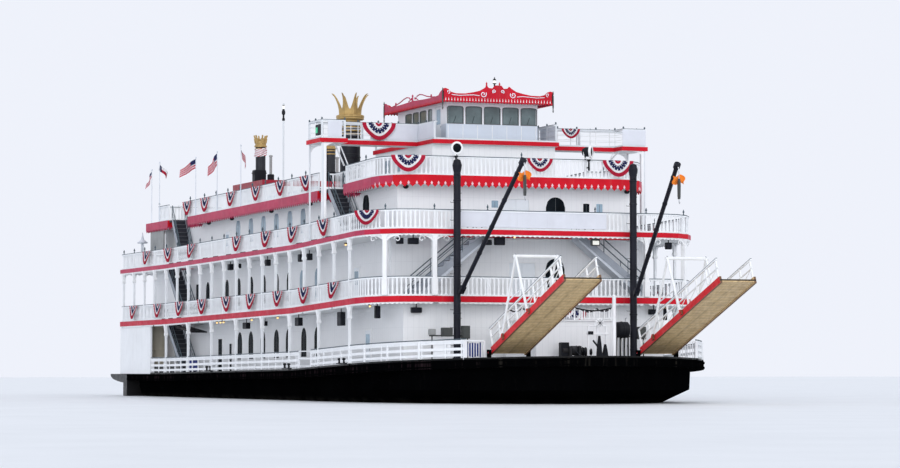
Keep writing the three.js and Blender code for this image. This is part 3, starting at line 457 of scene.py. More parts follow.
def casing_look(eave=7.3, roof=7.502, crown_foot=8.77):
    """White casing, red roof, black stacks and gold crowns, one above the other."""
    g = Graph("casing_white_paint")
    joints = g.boards(0.6, 0.008)
    tone = g.mix(g.times(joints, 0.4), toned(g, (0.82, 0.84, 0.86), 0.05, 1.0, 0.2), (0.4, 0.42, 0.45))
    tone = g.mix(g.inside(g.z(), eave, roof), tone, toned(g, (0.32, 0.012, 0.03), 0.1, 2.0))
    tone = g.mix(g.step(g.z(), roof + 0.004), tone, toned(g, (0.016, 0.018, 0.024), 0.3, 3.0))
    tone = g.mix(g.step(g.z(), crown_foot), tone, toned(g, GOLD, 0.18, 4.0))
    return g.finish(tone, 0.42, 0.1, joints, 0.0015)


def gangway_look(side, name, beam_top=0.128, planks_to=0.1305):
    """Red side beams, planks with open seams and white rails, along the slope of the gangway. The beams'
    faces that do not look to the side are dark brown, a painted shadow.
    """
    g = Graph("gangway_" + name + "_paint")
    foot_x, foot_y, foot_z = GANGWAY_FOOT
    local = g.node("VectorMath", operation="SUBTRACT")
    g.feed(local.inputs[0], g.place)
    local.inputs[1].default_value = Vector((foot_x, side * foot_y, foot_z)) * SCALE
    out = local.outputs[0]
    up = g.dot(out, -math.sin(SLOPE), 0, math.cos(SLOPE))
    along = g.dot(out, math.cos(SLOPE), 0, math.sin(SLOPE))
    across = g.dot(out, 0, 1, 0)
    grain = g.spread(g.noise(1.0, 5, (2, 14, 14), 0.6), 0.3, 0.7)
    wood = g.mix(grain, (0.50, 0.35, 0.17), (0.70, 0.52, 0.28))
    wood = g.mix(g.spread(g.noise(3.0, 4), 0.5, 0.75, 0.0, 0.5), wood, (0.30, 0.20, 0.10))
    middle = g.times(g.rest(g.step(g.size(across), 0.03, 0.06)),
                     g.spread(g.noise(4.0, 3), 0.35, 0.65, 0.1, 0.7))
    seams = g.most(middle, g.times(g.lines(along, 0.19, 0.02), 0.6))
    seams = g.most(g.times(g.lines(across, 0.35, 0.008), 0.2), seams)
    wood = g.mix(g.times(seams, 0.75), wood, (0.10, 0.06, 0.03))
    # Beam faces that do not look to the side: dark brown painted shadow
    sideways = g.step(g.faces(0, 1, 0), 0.5, 0.1)
    beam = g.times(g.step(g.size(across), 0.464), g.rest(g.step(up, beam_top)))
    wood = g.mix(g.calc("SUBTRACT", beam, sideways, clamp=True), wood, (0.16, 0.085, 0.045))
    beam = g.times(g.times(beam, sideways), g.step(g.size(across), 0.525))
    tone = g.mix(beam, wood, toned(g, (0.60, 0.008, 0.015), 0.12, 3.0, 0.15))
    tone = g.mix(g.step(up, planks_to), tone, toned(g, (0.84, 0.86, 0.87), 0.05, 3.0, 0.15))
    return g.finish(tone, 0.5, 0.12, g.times(seams, g.rest(beam)), 0.002, grain=40)


def wheel_look(hub=0.15, bucket_foot=0.9):
    """White arms, black hub and red buckets with slime, by the distance from the shaft."""
    g = Graph("paddle_wheel_paint")
    local = g.node("VectorMath", operation="MULTIPLY_ADD")
    for socket, value in zip(local.inputs, (g.place, (1, 0, 1), (-WHEEL_X * SCALE, 0, -WHEEL_Z * SCALE))):
        g.feed(socket, value)
    radius = g.node("VectorMath", operation="LENGTH")
    g.feed(radius.inputs[0], local.outputs[0])
    r = radius.outputs["Value"]
    wood = g.mix(g.spread(g.noise(1.0, 5, (12, 1.2, 12)), 0.3, 0.7), (0.50, 0.015, 0.025), (0.62, 0.03, 0.04))
    wood = g.mix(g.spread(g.noise(5.0, 4), 0.5, 0.8, 0.0, 0.4), wood, (0.16, 0.07, 0.05))
    arms = toned(g, (0.74, 0.75, 0.74), 0.08, 2.0, 0.25, (0.25, 0.2, 0.14))
    tone = g.mix(g.step(r, bucket_foot, 0.004), arms, wood)
    tone = g.mix(g.rest(g.step(r, hub, 0.004)), tone, toned(g, (0.05, 0.05, 0.055), 0.3, 5.0))
    return g.finish(tone, 0.55, 0.12, g.lines(g.y(), 0.9, 0.01), 0.002)


def stair_look():
    g = Graph("stair_black_paint")
    up = g.step(g.dot(g.normal, 0, 0, 1), 0.6, 0.1)
    tread = g.times(up, g.spread(g.noise(6.0, 4), 0.4, 0.7, 0.15, 0.55))
    tone = g.mix(tread, toned(g, (0.022, 0.025, 0.035), 0.3, 4.0), (0.10, 0.105, 0.115))
    return g.finish(tone, 0.55, 0.12, g.lines(g.z(), 0.02, 0.004), 0.001)


def main_rail_look(foot=0.84):
    """White bars over a black foot that follows the sheer."""
    g = Graph("main_rail_paint")
    lift = 0.0
    for (x0, z0), (x1, z1) in zip(SHEER[1:], SHEER[2:]):
        slope = (z1 - z0) / (x1 - x0)
        lift = g.most(g.calc("MULTIPLY_ADD", g.x(), slope, (z0 - slope * x0) * SCALE), lift)
    low = g.rest(g.step(g.calc("SUBTRACT", g.z(), lift), foot, 0.004))
    tone = g.mix(low, toned(g, RAIL_WHITE, 0.05, 3.0, 0.12), toned(g, HULL_BLACK, 0.3, 2.0))
    return g.finish(tone, 0.45, 0.1, None, 0.001, gloss=0.2)


def guard_look(foot=0.79):
    g = Graph("wheel_guard_paint")
    low = g.rest(g.step(g.z(), foot, 0.004))
    tone = g.mix(low, toned(g, (0.83, 0.85, 0.87), 0.05, 1.2, 0.15),
                 toned(g, (0.004, 0.004, 0.005), 0.3, 2.0))
    return g.finish(tone, 0.42, 0.1, g.boards(0.9, 0.008), 0.0015)


HULL, STACK, STAIR = hull_look(), stack_look(), stair_look()
# First letters of node names and their finish, the first that fits
LOOKS = (
    ("hull", HULL),
    ("main_deck_railing", main_rail_look()),
    ("main_deck", deck_look("main", HULL_BLACK, HULL_BLACK, ceiling=HULL_BLACK)),
    ("second_deck_railing", rail_white),
    ("second_deck", deck_look("second", RED, SHADED_SIDE_RED)),
    ("third_deck_railing", rail_white),
    ("third_deck", deck_look("third", RED, SHADED_SHEEN_RED)),
    ("fourth_deck_railing", rail_white),
    ("fourth_deck", deck_look("fourth", FASCIA_RED, SHADED_SHEEN_RED, (-10, 6.74))),
    ("bridge_deck", deck_look("bridge", RED, RED, (7.53, 7.667))),
    ("smokestack", STACK),
    ("aft_smokestacks", casing_look()),
    ("paddle_wheel", wheel_look()),
    ("wheel_guard", guard_look()),
    ("rudder", rudder_grey),
    ("mast", mast_black),
    ("boom", mast_black),
    ("gangway_port", gangway_look(1, "port")),
    ("gangway_starboard", gangway_look(-1, "starboard")),
    ("anchor_windlass", rust_steel),
    ("wheelhouse_roof", roof_red),
    ("wheelhouse_door", door_paint),
    # Bluish grey below the windows: painted shade on white panels
    ("wheelhouse", house_look("wheelhouse_panels_painted_shade", (0.60, 0.66, 0.74), 0.62, 8.16)),
    ("front_stair", string_white),
    ("lower_stair", STAIR),
    ("upper_stair", STAIR),
    ("aft_texas_stair", STAIR),
    ("forward_texas_stair", STAIR),
    ("boarding_gate", rail_white),
    ("", house_look("house_white_boards")),
)
for name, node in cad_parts.items():
    node.data.materials.clear()
    node.data.materials.append(next(look for start, look in LOOKS if name.startswith(start)))


# Mesh builder
class Kit:
    """One piece built from many closed shapes, in ship metres, each in the material named last."""

    def __init__(self, name, body="ship", slot=None):
        self.name, self.body, self.slot = name, body, slot
        self.points, self.faces, self.looks, self.materials = [], [], [], []
        self.place = Matrix.Identity(4)

    def use(self, material):
        if material not in self.materials:
            self.materials.append(material)
        self.look = self.materials.index(material)
        return self

    def put(self, x=0, y=0, z=0, heading=0.0, along=None, out=None, up=(0, 0, 1)):
        """Moves the builder's own axes: x along, y outwards, z up."""
        turn = Matrix((along, out, up)).transposed().to_4x4() if along else Matrix.Rotation(heading, 4, "Z")
        self.place = Matrix.Translation((x, y, z)) @ turn
        return self

    def on_side(self, x, y, z, side):
        return self.put(x, y, z, along=(1, 0, 0), out=(0, side, 0))

    def on_front(self, x, y, z, facing=1):
        return self.put(x, y, z, along=(0, 1, 0), out=(facing, 0, 0))

    def on_edge(self, x, y, z, heading):
        """Faces outwards on an outline that runs round the ship against the clock."""
        c, s = math.cos(heading), math.sin(heading)
        return self.put(x, y, z, along=(c, s, 0), out=(s, -c, 0))

    def add(self, points, faces):
        base = len(self.points)
        self.points += [self.place @ Vector(p) for p in points]
        self.faces += [tuple(base + i for i in f) for f in faces]
        self.looks += [self.look] * len(faces)
        return self

    def box(self, x0, x1, y0, y1, z0, z1, c=0.008):
        """Box with chamfered edges, three points a corner. Steps along x, y and z are 12, 6 and 3 points."""
        lo, hi = (x0, y0, z0), (x1, y1, z1)
        c = min(c, *[abs(b - a) * 0.4 for a, b in zip(lo, hi)])
        points = [[hi[j] - (j != k) * c if s[j] else lo[j] + (j != k) * c for j in range(3)]
                  for s in ((i >> 2, i >> 1 & 1, i & 1) for i in range(8)) for k in range(3)]
        faces = []
        for k, a, b in ((0, 1, 2), (1, 2, 0), (2, 0, 1)):
            w, u, v = 12 >> k, 12 >> a, 12 >> b
            faces += [(t + k, t + u + k, t + u + v + k, t + v + k) for t in (0, w)]
            faces += [(t + a, t + w + a, t + w + b, t + b) for t in (0, v, u, u + v)]
        return self.add(points, faces + [(i, i + 1, i + 2) for i in range(0, 24, 3)])

    def block(self, w, d, z0, z1, c=0.008):
        """Box about the upright axis, from half its width and depth."""
        return self.box(-w, w, -d, d, z0, z1, c)

    def loft(self, rings, closed=False):
        """Body through rings of equally many points, with flat ends or closed to a loop."""
        n, count = len(rings[0]), len(rings)
        faces = [(k * n + j, k * n + (j + 1) % n, (k + 1) % count * n + (j + 1) % n, (k + 1) % count * n + j)
                 for k in range(count if closed else count - 1) for j in range(n)]
        if not closed:
            faces += [tuple(range(n - 1, -1, -1)), tuple((count - 1) * n + j for j in range(n))]
        return self.add([p for ring in rings for p in ring], faces)

    def tube(self, path, r, sides=6):
        path = [Vector(p) for p in path]
        rings, ref = [], Vector((0, 0, 1))
        for k, p in enumerate(path):
            way = (path[min(k + 1, len(path) - 1)] - path[max(k - 1, 0)]).normalized()
            if abs(way.dot(ref)) > 0.95:
                ref = Vector((1, 0, 0)) if abs(way.x) < 0.9 else Vector((0, 1, 0))
            side = way.cross(ref).normalized()
            ref = side.cross(way).normalized()
            rings.append([p + (side * math.cos(a) + ref * math.sin(a)) * r
                          for a in (2 * PI * j / sides for j in range(sides))])
        return self.loft(rings)

    def turned(self, profile, sides=12, squash=1.0):
        """Profile of (radius, z) about the upright axis."""
        return self.loft([[(r * math.cos(2 * PI * j / sides), r * squash * math.sin(2 * PI * j / sides), z)
                           for j in range(sides)] for r, z in profile])

    def band(self, inner, outer, z, half, sides):
        """Hoop with chamfered edges, half of its height above and below z."""
        low, high = z - half, z + half
        return self.turned([(inner, low), (outer, low + 0.01), (outer, high - 0.01), (inner, high)], sides)

    def slab(self, outline, d0, d1):
        """Outline of (x, z), as thick as from d0 to d1 outwards."""
        n = len(outline)
        faces = [(j, (j + 1) % n, n + (j + 1) % n, n + j) for j in range(n)]
        return self.add([(x, d, z) for d in (d0, d1) for x, z in outline],
                        faces + [tuple(range(n)), tuple(range(2 * n - 1, n - 1, -1))])

    def rim(self, outer, inner, d0, d1):
        """Frame between two outlines of equally many points."""
        n = len(outer)
        faces = []
        for j in range(n):
            k = (j + 1) % n
            faces += [(j, k, n + k, n + j), (2 * n + j, 2 * n + k, 3 * n + k, 3 * n + j),
                      (j, k, 2 * n + k, 2 * n + j), (n + j, n + k, 3 * n + k, 3 * n + j)]
        return self.add([(x, d, z) for d in (d0, d1) for line in (outer, inner) for x, z in line], faces)

    def rail(self, line, deck, z0, z1, w, closed=False):
        """Bar along a line in plan, at a height above the deck, or above the water where there is none."""
        n, rings = len(line), []
        for k, (x, y) in enumerate(line):
            before = line[k - 1] if closed or k else (x, y)
            after = line[(k + 1) % n] if closed or k + 1 < n else (x, y)
            a, b = Vector((x - before[0], y - before[1])), Vector((after[0] - x, after[1] - y))
            a = a.normalized() if a.length > 1e-9 else b.normalized()
            b = b.normalized() if b.length > 1e-9 else a
            middle = (a + b).normalized()
            side = Vector((-middle.y, middle.x)) * (w / max(0.4, middle.dot(a)))
            z = top(deck, x) if deck else 0.0
            corners = ((1, z0), (1, z1), (-1, z1), (-1, z0))
            rings.append([(x + s * side.x, y + s * side.y, z + h) for s, h in corners])
        return self.loft(rings, closed)

    def done(self):
        mesh = bpy.data.meshes.new(self.name)
        mesh.from_pydata([p * SCALE for p in self.points], [], self.faces)
        for material in self.materials:
            mesh.materials.append(material)
        mesh.polygons.foreach_set("material_index", self.looks)
        shape = bmesh.new()
        shape.from_mesh(mesh)
        bmesh.ops.recalc_face_normals(shape, faces=shape.faces)
        shape.to_mesh(mesh)
        shape.free()
        mesh.shade_smooth()
        mesh.set_sharp_from_angle(angle=0.6)
        made = bpy.data.objects.new(self.name, mesh)
        bpy.context.scene.collection.objects.link(made)
        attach(made, self.body)
        return made


# Railings: balusters, caps and finials
BALUSTER = ((0.072, 0.1), (0.072, 0.16), (0.05, 0.2), (0.066, 0.38), (0.044, 0.6), (0.06, 0.84),
            (0.072, 0.99))
FINIAL = ((0.045, 0), (0.045, 0.06), (0.02, 0.09), (0.065, 0.18), (0.035, 0.26), (0.008, 0.33))
RAIL_INSET = 0.15


def balusters(name, ring, deck, skip):
    kit = Kit(name, slot="rail_white").use(rail_white)
    for x, y, heading, _ in walk(ring(RAIL_INSET), 0.262):
        if not skip(x, y):
            kit.put(x, y, top(deck, x), heading).turned(BALUSTER, 6, 0.42)
    kit.done()


def caps(name, lines, deck, posts, closed=True):
    kit = Kit(name, slot="rail_white").use(cap_paint)
    for line in lines:
        kit.rail(line, deck, 1.068, 1.115, 0.055, closed)
    for x, y in posts:
        kit.put(x, y, top(deck, x) + 1.1).turned(FINIAL, 8)
    kit.done()


def mirrored(rows):
    return [(x, s * y) for _, s in SIDES for x, y in rows]


upper_posts = mirrored([(x, POST_LINE) for x in STERN_POSTS + BAYS] + FRONT_POSTS) + AFT_POSTS


def near_post(x, y):
    return any(math.hypot(x - a, y - b) < 0.12 for a, b in upper_posts)


def behind_board(x, y):
    return near_post(x, y) or (x > 22 and -5.2 < y < 4.0)


def stair_gap(x, y):
    return any(aft - 0.3 < x < aft - 0.02 and 7.4 < abs(y) < 8.2 for aft, _ in NOTCHES)


balusters("second_deck_balusters", upper_ring, "second", near_post)
balusters("third_deck_balusters", upper_ring, "third", behind_board)
balusters("fourth_deck_balusters", fourth_rail_ring, "fourth", stair_gap)
upper_line = bent(upper_ring(RAIL_INSET))
front_finials = [(22.15, -3.3), (22.15, 3.3)]
caps("second_deck_rail_cap", [upper_line], "second", [])
caps("third_deck_rail_cap", [upper_line], "third", upper_posts + front_finials)
# The fourth deck's cap is open where the stairs come up
ring = bent(fourth_rail_ring(RAIL_INSET))
open_at = [k for k, (a, b) in enumerate(zip(ring, ring[1:]))
           if any(abs(a[0] - (aft - 0.15)) < 0.01 and abs(b[0] - a[0]) < 0.01 for aft, _ in NOTCHES)]
cap_lines = [ring[a + 1:b + 1] for a, b in zip(open_at, open_at[1:])]
cap_lines.append(ring[open_at[-1] + 1:] + ring[:open_at[0] + 1])
cap_posts = (-28.9, -20.95, -17.46, -14.7, -11.97, -9.2, -6.5, -3.7, -1, 1.75, 4.5, 12.15, 15.6)
caps("fourth_deck_rail_cap", cap_lines, "fourth",
     mirrored([(x, 8.25) for x in cap_posts]) + [(19.15, y) for y in (-4, 0, 4)], False)

main_rails = Kit("main_deck_rail_bars", slot="rail_white")
main_caps = Kit("main_deck_rail_cap", slot="rail_white").use(cap_paint)
RAIL_ENDS = (-24, 27.9)
# Solid boards on the main deck's rail: from, to, paint, foot, head
# The black board from -24 to -18.3 stands for the dark seen between the rail bars there: painted shade
SCREENS = ((-24.0, -18.3, black, 0.1, 0.62), (26.04, 27.04, white, 0.02, 1.16),
           (-14.9, -12.9, blue_canvas, 0.15, 0.9))
# Folds of the canvas behind the pickets: y, foot, head
CANVAS = ((-0.58, 0.14, 0.95), (-0.3, 0.2, 0.9), (0.0, 0.12, 0.93), (0.2, 0.2, 0.88), (0.42, 0.14, 0.95))
for _, side in SIDES:
    half = main_half(RAIL_INSET, side)
    for x0, x1 in ((RAIL_ENDS[0], GATE[0] - 0.02), (GATE[1] + 0.02, RAIL_ENDS[1])):
        line = between(half, x0, x1)
        main_rails.put().use(rail_white)
        for low, high in ((0.2, 0.34), (0.52, 0.67), (0.87, 1.0)):
            main_rails.rail(line, "main", low, high, 0.02)
        main_caps.rail(line, "main", 1.1, 1.15, 0.04)
        for x, y, heading, _ in walk(line, 1.37, False):
            main_rails.put(x, y, top("main", x), heading).block(0.035, 0.035, 0.1, 1.12)
    for x0, x1, look, foot, head in SCREENS:
        for x, y, heading, step in walk(between(half, x0, x1), 1.2, False):
            main_rails.use(look).put(x, y, top("main", x), heading)
            main_rails.box(-step / 2, step / 2, -side * 0.09 - 0.02, -side * 0.09 + 0.02, foot, head, 0.01)
    # Pickets beside the gangway, with blue canvas behind them to starboard
    main_rails.put(27.84, side * 6.38, top("main", RAIL_ENDS[1]))
    if side < 0:
        main_rails.use(blue_canvas)
        main_rails.loft([[(-0.03, y, low), (-0.01, y, low), (-0.01, y, high), (-0.03, y, high)]
                         for y, low, high in CANVAS])
    main_rails.use(rail_white)
    for y in (side * (0.6 - k * 0.15) for k in range(8)):
        main_rails.box(0.0, 0.03, y - 0.022, y + 0.022, 0.02, 1.04, 0.004)
main_rails.done()
main_caps.done()

# Name board on the third deck's rail, left bare
board = Kit("front_board", slot="rail_white").use(panel_white)
board.put(22.2, 0, top("third", 22.2)).box(0.01, 0.05, -5.16, 3.96, 0.13, 1.0, 0.01)
for y in (-5.16, -3.36, -1.52, 0.3, 2.12, 3.92):
    board.box(0.05, 0.06, y, y + 0.04, 0.13, 1.0, 0.004)
for h in (0.13, 0.96):
    board.box(0.05, 0.065, -5.16, 3.96, h, h + 0.04, 0.006)
board.done()

# Scupper openings in the foot of the side rails, drawn as black slabs: painted shade
scupper_shadows = Kit("scupper_shadows", slot="black_paint").use(black)
for deck, places in (("third", (-18.8, -16.9, -14.0, -10.6, -8.2, -5.3, -2.2, 0.4, 3.4, 9.2, 12.0, 14.6)),
                     ("second", (-20.6, -18.9, -16.8))):
    for x, y in mirrored([(x, 10.2) for x in places]):
        scupper_shadows.put(x, y, top(deck, x)).block(0.55, 0.012, 0.005, 0.06, 0.003)
scupper_shadows.done()

# Fascia of the fourth deck: hanging points, with pale diamonds between them at the front. Along the sides the
# points are a paler pink red, which is painted shade and painted sheen.
fascia = Kit("fourth_deck_fascia", slot="red_paint")
GEM = [(0.04, 0.07), (0.075, 0.02), (0.04, -0.04)]
for x, y, heading, step in walk(fourth_ring(0), 0.41):
    half = step / 2
    fascia.on_edge(x, y, under("fourth", x), heading).use(fascia_red if x > 17 else fascia_shade_sheen)
    point = [(half, 0.02), (half, -0.02), (half * 0.5, -0.09), (0, -0.2)]
    fascia.slab(point + [(-u, v) for u, v in reversed(point[:3])], -0.05, 0.004)
    if x > 17:
        fascia.use(fascia_pink).slab([(half, 0.14)] + [(half - u, v) for u, v in GEM] + [(half, -0.12)]
                                     + [(half + u, v) for u, v in reversed(GEM)], 0.0, 0.014)
fascia.done()

# Capitals and brackets of the posts
posts = Kit("post_brackets", slot="rail_white").use(white)


def bracket(reach, drop, d):
    curve = [(0.1 + (reach - 0.1) * (1 - math.sin(a)), -0.07 - (drop - 0.07) * (1 - math.cos(a)))
             for a in (k * PI / 12 for k in range(7))]
    for s in (-1, 1):
        posts.slab([(s * x, z) for x, z in [(0.05, -0.002), (reach, -0.002), *curve, (0.05, -drop)]], -d, d)


def square(w, d, z):
    return [(-w, -d, z), (w, -d, z), (w, d, z), (-w, d, z)]


def funnel(size, drop):
    rows = ((drop + 0.25, 0.085), (drop + 0.2, 0.12), (drop + 0.12, 0.12), (drop, 0.09), (drop * 0.5, 0.12),
            (drop * 0.2, size * 0.75), (0.03, size), (0.003, size))
    posts.loft([square(w, min(w, 0.14), -z) for z, w in rows])


for _, side in SIDES:
    for k, x in enumerate(STERN_POSTS + BAYS):
        posts.put(x, side * POST_LINE, under("third", x))
        funnel(0.2, 0.5)
        bracket(0.42, 0.55, 0.03)
        if x >= -20.3 and (k - len(STERN_POSTS)) % 2 == 0:
            posts.put(x, side * POST_LINE, under("second", x))
            funnel(0.26, 0.55)
            bracket(0.6, 0.6, 0.035)
    for (x, y), heading in zip(FRONT_POSTS, (PI / 2, side * 2.36)):
        posts.put(x, side * y, under("third", x) - 0.004, heading)
        funnel(0.24, 0.5)
        posts.block(0.13, 0.13, -3.3, -0.3, 0.02).block(0.17, 0.17, -3.42, -2.5, 0.02)
        bracket(1.0, 0.5, 0.025)
        coil = [(a, 1 - a / 9) for a in (j * 0.5 for j in range(13))]
        for s in (-1, 1):
            posts.tube([(s * (0.75 - 0.2 * math.cos(a) * left), 0, -0.28 + 0.2 * math.sin(a) * left)
                        for a, left in coil], 0.03, 5)
for x, y in AFT_POSTS:
    posts.put(x, y, under("third", x), PI / 2)
    funnel(0.22, 0.4)
    bracket(0.78, 0.6, 0.025)
posts.done()

# White valance under the edges of the second and third decks
valance = Kit("deck_valance", slot="rail_white").use(white)
for deck in ("second", "third"):
    for x, y, heading, step in walk(upper_ring(0.06), 0.3):
        if not near_post(x, y):
            h = step / 2
            valance.put(x, y, under(deck, x) - 0.002, heading)
            valance.slab([(-h, 0), (h, 0), (h, -0.05), (0, -0.12), (-h, -0.05)], -0.012, 0.012)
valance.done()


# Windows and doors
def arched(w, h, curve, power, grow=0.0):
    """Outline of an opening from its sill up: width, height, height of its arch, shape of the arch."""
    half, spring = w / 2 + grow, h - curve
    pts = [(-half, -grow), (-half, spring * 0.5), (-half, spring)]
    for k in range(1, 12):
        t = -1 + k / 6
        pts.append((half * t, spring + (curve + grow) * (1 - abs(t) ** power) ** (1 / power)))
    return pts + [(half, spring), (half, spring * 0.5), (half, -grow)]


def window(kit, w, h, curve, power, glass):
    """Nearly flush window: thin frame, glass, one glazing bar and a sill."""
    kit.use(white).rim(arched(w, h, curve, power, 0.035), arched(w, h, curve, power), -0.01, 0.014)
    kit.use(glass).slab(arched(w, h, curve, power, -0.004), -0.008, 0.006)
    kit.use(bar_grey).box(-0.012, 0.012, 0.004, 0.012, 0.02, h - 0.06, 0.003)
    kit.use(white).box(-w / 2 - 0.05, w / 2 + 0.05, -0.01, 0.035, -0.07, -0.036, 0.006)


# Side windows: wall, sill, width, height, arch, shape of the arch, glass, places along the ship
SIDE_WINDOWS = (
    (LOWER[2], 2.45, 1.05, 1.8, 0.6, 1.8, glass_dark, (-9.95, -7.51, -4.92, -2.06, 0.38, 3.47, 6.02)),
    (SALOON[2], 5.95, 0.85, 1.85, 0.5, 1.8, glass_dark, (-17.4, -12.89, -10.21, -7.44, -4.74, -2.01, 0.45)),
    (SALOON[2], 5.95, 0.85, 1.85, 0.5, 1.8, glass_blue, (3.05, 5.96)),
    (TEXAS[2], 10.18, 1.05, 1.62, 0.55, 2.0, glass_blue, (-12.7, -9.83, -7.09, -4.33, -1.55, 1.14)),
    (TEXAS[2], 10.4, 1.15, 1.38, 0.6, 2.0, glass_dark, (12.94,)),
    (BRIDGE_HOUSE[2], 13.5, 0.8, 0.85, 0.02, 2.0, glass_blue, (7.2, 9.4, 11.6)),
)
# Windows of the end walls: wall, facing, sill, width, height, arch, glass, places across the ship
END_WINDOWS = (
    (TEXAS[1], 1, 10.5, 1.22, 1.38, 0.6, glass_dark, (2.48,)),
    (TEXAS[1], 1, 10.95, 0.4, 0.6, 0.02, glass_dark, (4.43,)),
    (TEXAS[1], 1, 10.95, 0.4, 0.6, 0.02, glass_blue, (5.27,)),
    (TEXAS[1], 1, 11.2, 0.42, 0.42, 0.02, glass_blue, (-1.32,)),
    (SALOON[1], 1, 6.6, 1.2, 1.66, 0.6, glass_dark, (2.06,)),
    (TEXAS[0], -1, 10.2, 0.9, 1.4, 0.45, glass_blue, (-5.6, -3.4, 3.4, 5.6)),
    (SALOON[0], -1, 6.3, 0.9, 1.7, 0.5, glass_dark, (-5.6, -3.4, 3.4, 5.6)),
)
house = Kit("house_windows", slot="house_white")
for wall, sill, w, h, curve, power, glass, places in SIDE_WINDOWS:
    for x, y in mirrored([(x, wall) for x in places]):
        window(house.on_side(x, y, sill + rise(x), math.copysign(1, y)), w, h, curve, power, glass)
for wall, facing, sill, w, h, curve, glass, places in END_WINDOWS:
    for y in places:
        window(house.on_front(wall, y, sill, facing), w, h, curve, 2.0, glass)
house.done()

doors = Kit("house_doors", slot="door_white")


def door(w, h, glass, leaves=1, look=door_paint):
    """Panelled door leaves with glazing or a panel above the middle rail."""
    for k in range(leaves):
        x0 = -w / 2 + k * w / leaves + 0.006
        x1 = x0 + w / leaves - 0.012
        doors.use(look).box(x0, x1, -0.05, 0.005, 0.012, h - 0.006, 0.006)
        doors.box(x0 + 0.12, x1 - 0.12, 0, 0.022, 0.2, h * 0.44, 0.02)
        doors.use(glass).box(x0 + 0.12, x1 - 0.12, 0, 0.014, h * 0.52, h - 0.22, 0.004)
        doors.use(steel).box(x1 - 0.09, x1 - 0.05, 0, 0.05, h * 0.44, h * 0.5, 0.008)


def door_case(w, h, out0, out1):
    outer, inner = ([(-a, 0), (-a, b), (a, b), (a, 0)] for a, b in ((w / 2 + 0.07, h + 0.07), (w / 2, h)))
    doors.use(white).rim(outer, inner, out0, out1)


# Doorways of the end walls: wall, deck, facing, glass
END_DOORS = ((LOWER[0], "main", -1, glass_dark), (LOWER[1], "main", 1, door_paint),
             (SALOON[0], "second", -1, glass_dark), (SALOON[1], "second", 1, door_paint),
             (TEXAS[0], "third", -1, glass_dark), (TEXAS[1], "third", 1, door_paint),
             (BRIDGE_HOUSE[0], "fourth", -1, glass_dark))
for x, deck, facing, glass in END_DOORS:
    doors.on_front(x, 0, top(deck, x), facing)
    door(1.6, 2.1, glass, 2)
    door_case(1.6, 2.1, 0.001, 0.04)
# Side doors: x, wall, deck, width, height, look
SIDE_DOORS = (
    (-14.29, LOWER[2], "main", 0.85, 2.3, glass_dark),
    (-11.9, LOWER[2], "main", 0.5, 1.95, glass_dark),
    (-19.71, SALOON[2], "second", 0.75, 2.4, glass_dark),
    (-16.2, SALOON[2], "second", 0.45, 1.75, glass_dark),
    (15.4, LOWER[2], "main", 0.9, 2.1, door_paint),
    (13.4, SALOON[2], "second", 0.9, 2.1, door_paint),
    (-15.0, TEXAS[2], "third", 0.85, 2.05, door_paint),
)
for x, wall, deck, w, h, look in SIDE_DOORS:
    for _, side in SIDES:
        doors.on_side(x, side * (wall + 0.055), top(deck, x), side)
        door(w, h, glass_dark if look is glass_dark else glass_blue, look=look)
        door_case(w, h, -0.054, 0.0)
doors.done()

# Mouldings at the foot and head of the house walls
mouldings = Kit("house_mouldings", slot="house_white").use(white)
HOUSES = ((LOWER, "main", "second"), (SALOON, "second", "third"), (TEXAS, "third", "fourth"))
for (aft, fore, half), low, high in HOUSES:
    head = DECKS[high][0] - DECKS[high][2] - DECKS[low][0]
    for _, side in SIDES:
        line = between([(aft, side * (half + 0.02)), (fore, side * (half + 0.02))], aft, fore)
        for z0, z1 in ((0.004, 0.14), (head - 0.24, head - 0.1)):
            mouldings.put().rail(line, low, z0, z1, 0.018)
    for x, out in ((aft, -0.036), (fore, 0.002)):
        for y0, y1 in ((-half, -0.92), (0.92, half)):
            mouldings.put(x, 0, top(low, x)).box(out, out + 0.034, y0, y1, 0.012, 0.14)
mouldings.done()

# Stairs: strings, nosings and handrails
stairs = Kit("stair_rails", slot="stair_black")
STEPS = 12


def dress(foot, head, low, high, y0, y1):
    run, climb = (head - foot) / STEPS, (high - low) / STEPS
    way = 1 if head > foot else -1
    back = foot - way * 0.1
    for y in (y0 - 0.045, y1 + 0.01):
        stairs.use(string_grey).slab([(back, low + 0.28), (head, high + 0.12), (head, high - 0.32),
                                      (back + way * 0.25, low + 0.006), (back, low + 0.006)], y, y + 0.035)
        stairs.use(cap_paint)
        for lift, r in ((0.98, 0.032), (0.55, 0.02)):
            stairs.tube([(foot, y + 0.017, low + lift), (head, y + 0.017, high + lift)], r)
        for t in (0.0, 0.33, 0.66, 1.0):
            x, z = foot + (head - foot) * t, low + (high - low) * t
            stairs.tube([(x, y + 0.017, z + 0.1), (x, y + 0.017, z + 0.98)], 0.024)
    for k in range(STEPS):
        z, x = low + (k + 0.75) * climb, foot + k * run
        x0, x1 = sorted((x, x - way * 0.02))
        stairs.use(nosing).box(x0, x1, y0 + 0.01, y1 - 0.01, z - 0.035, z + 0.006, 0.003)


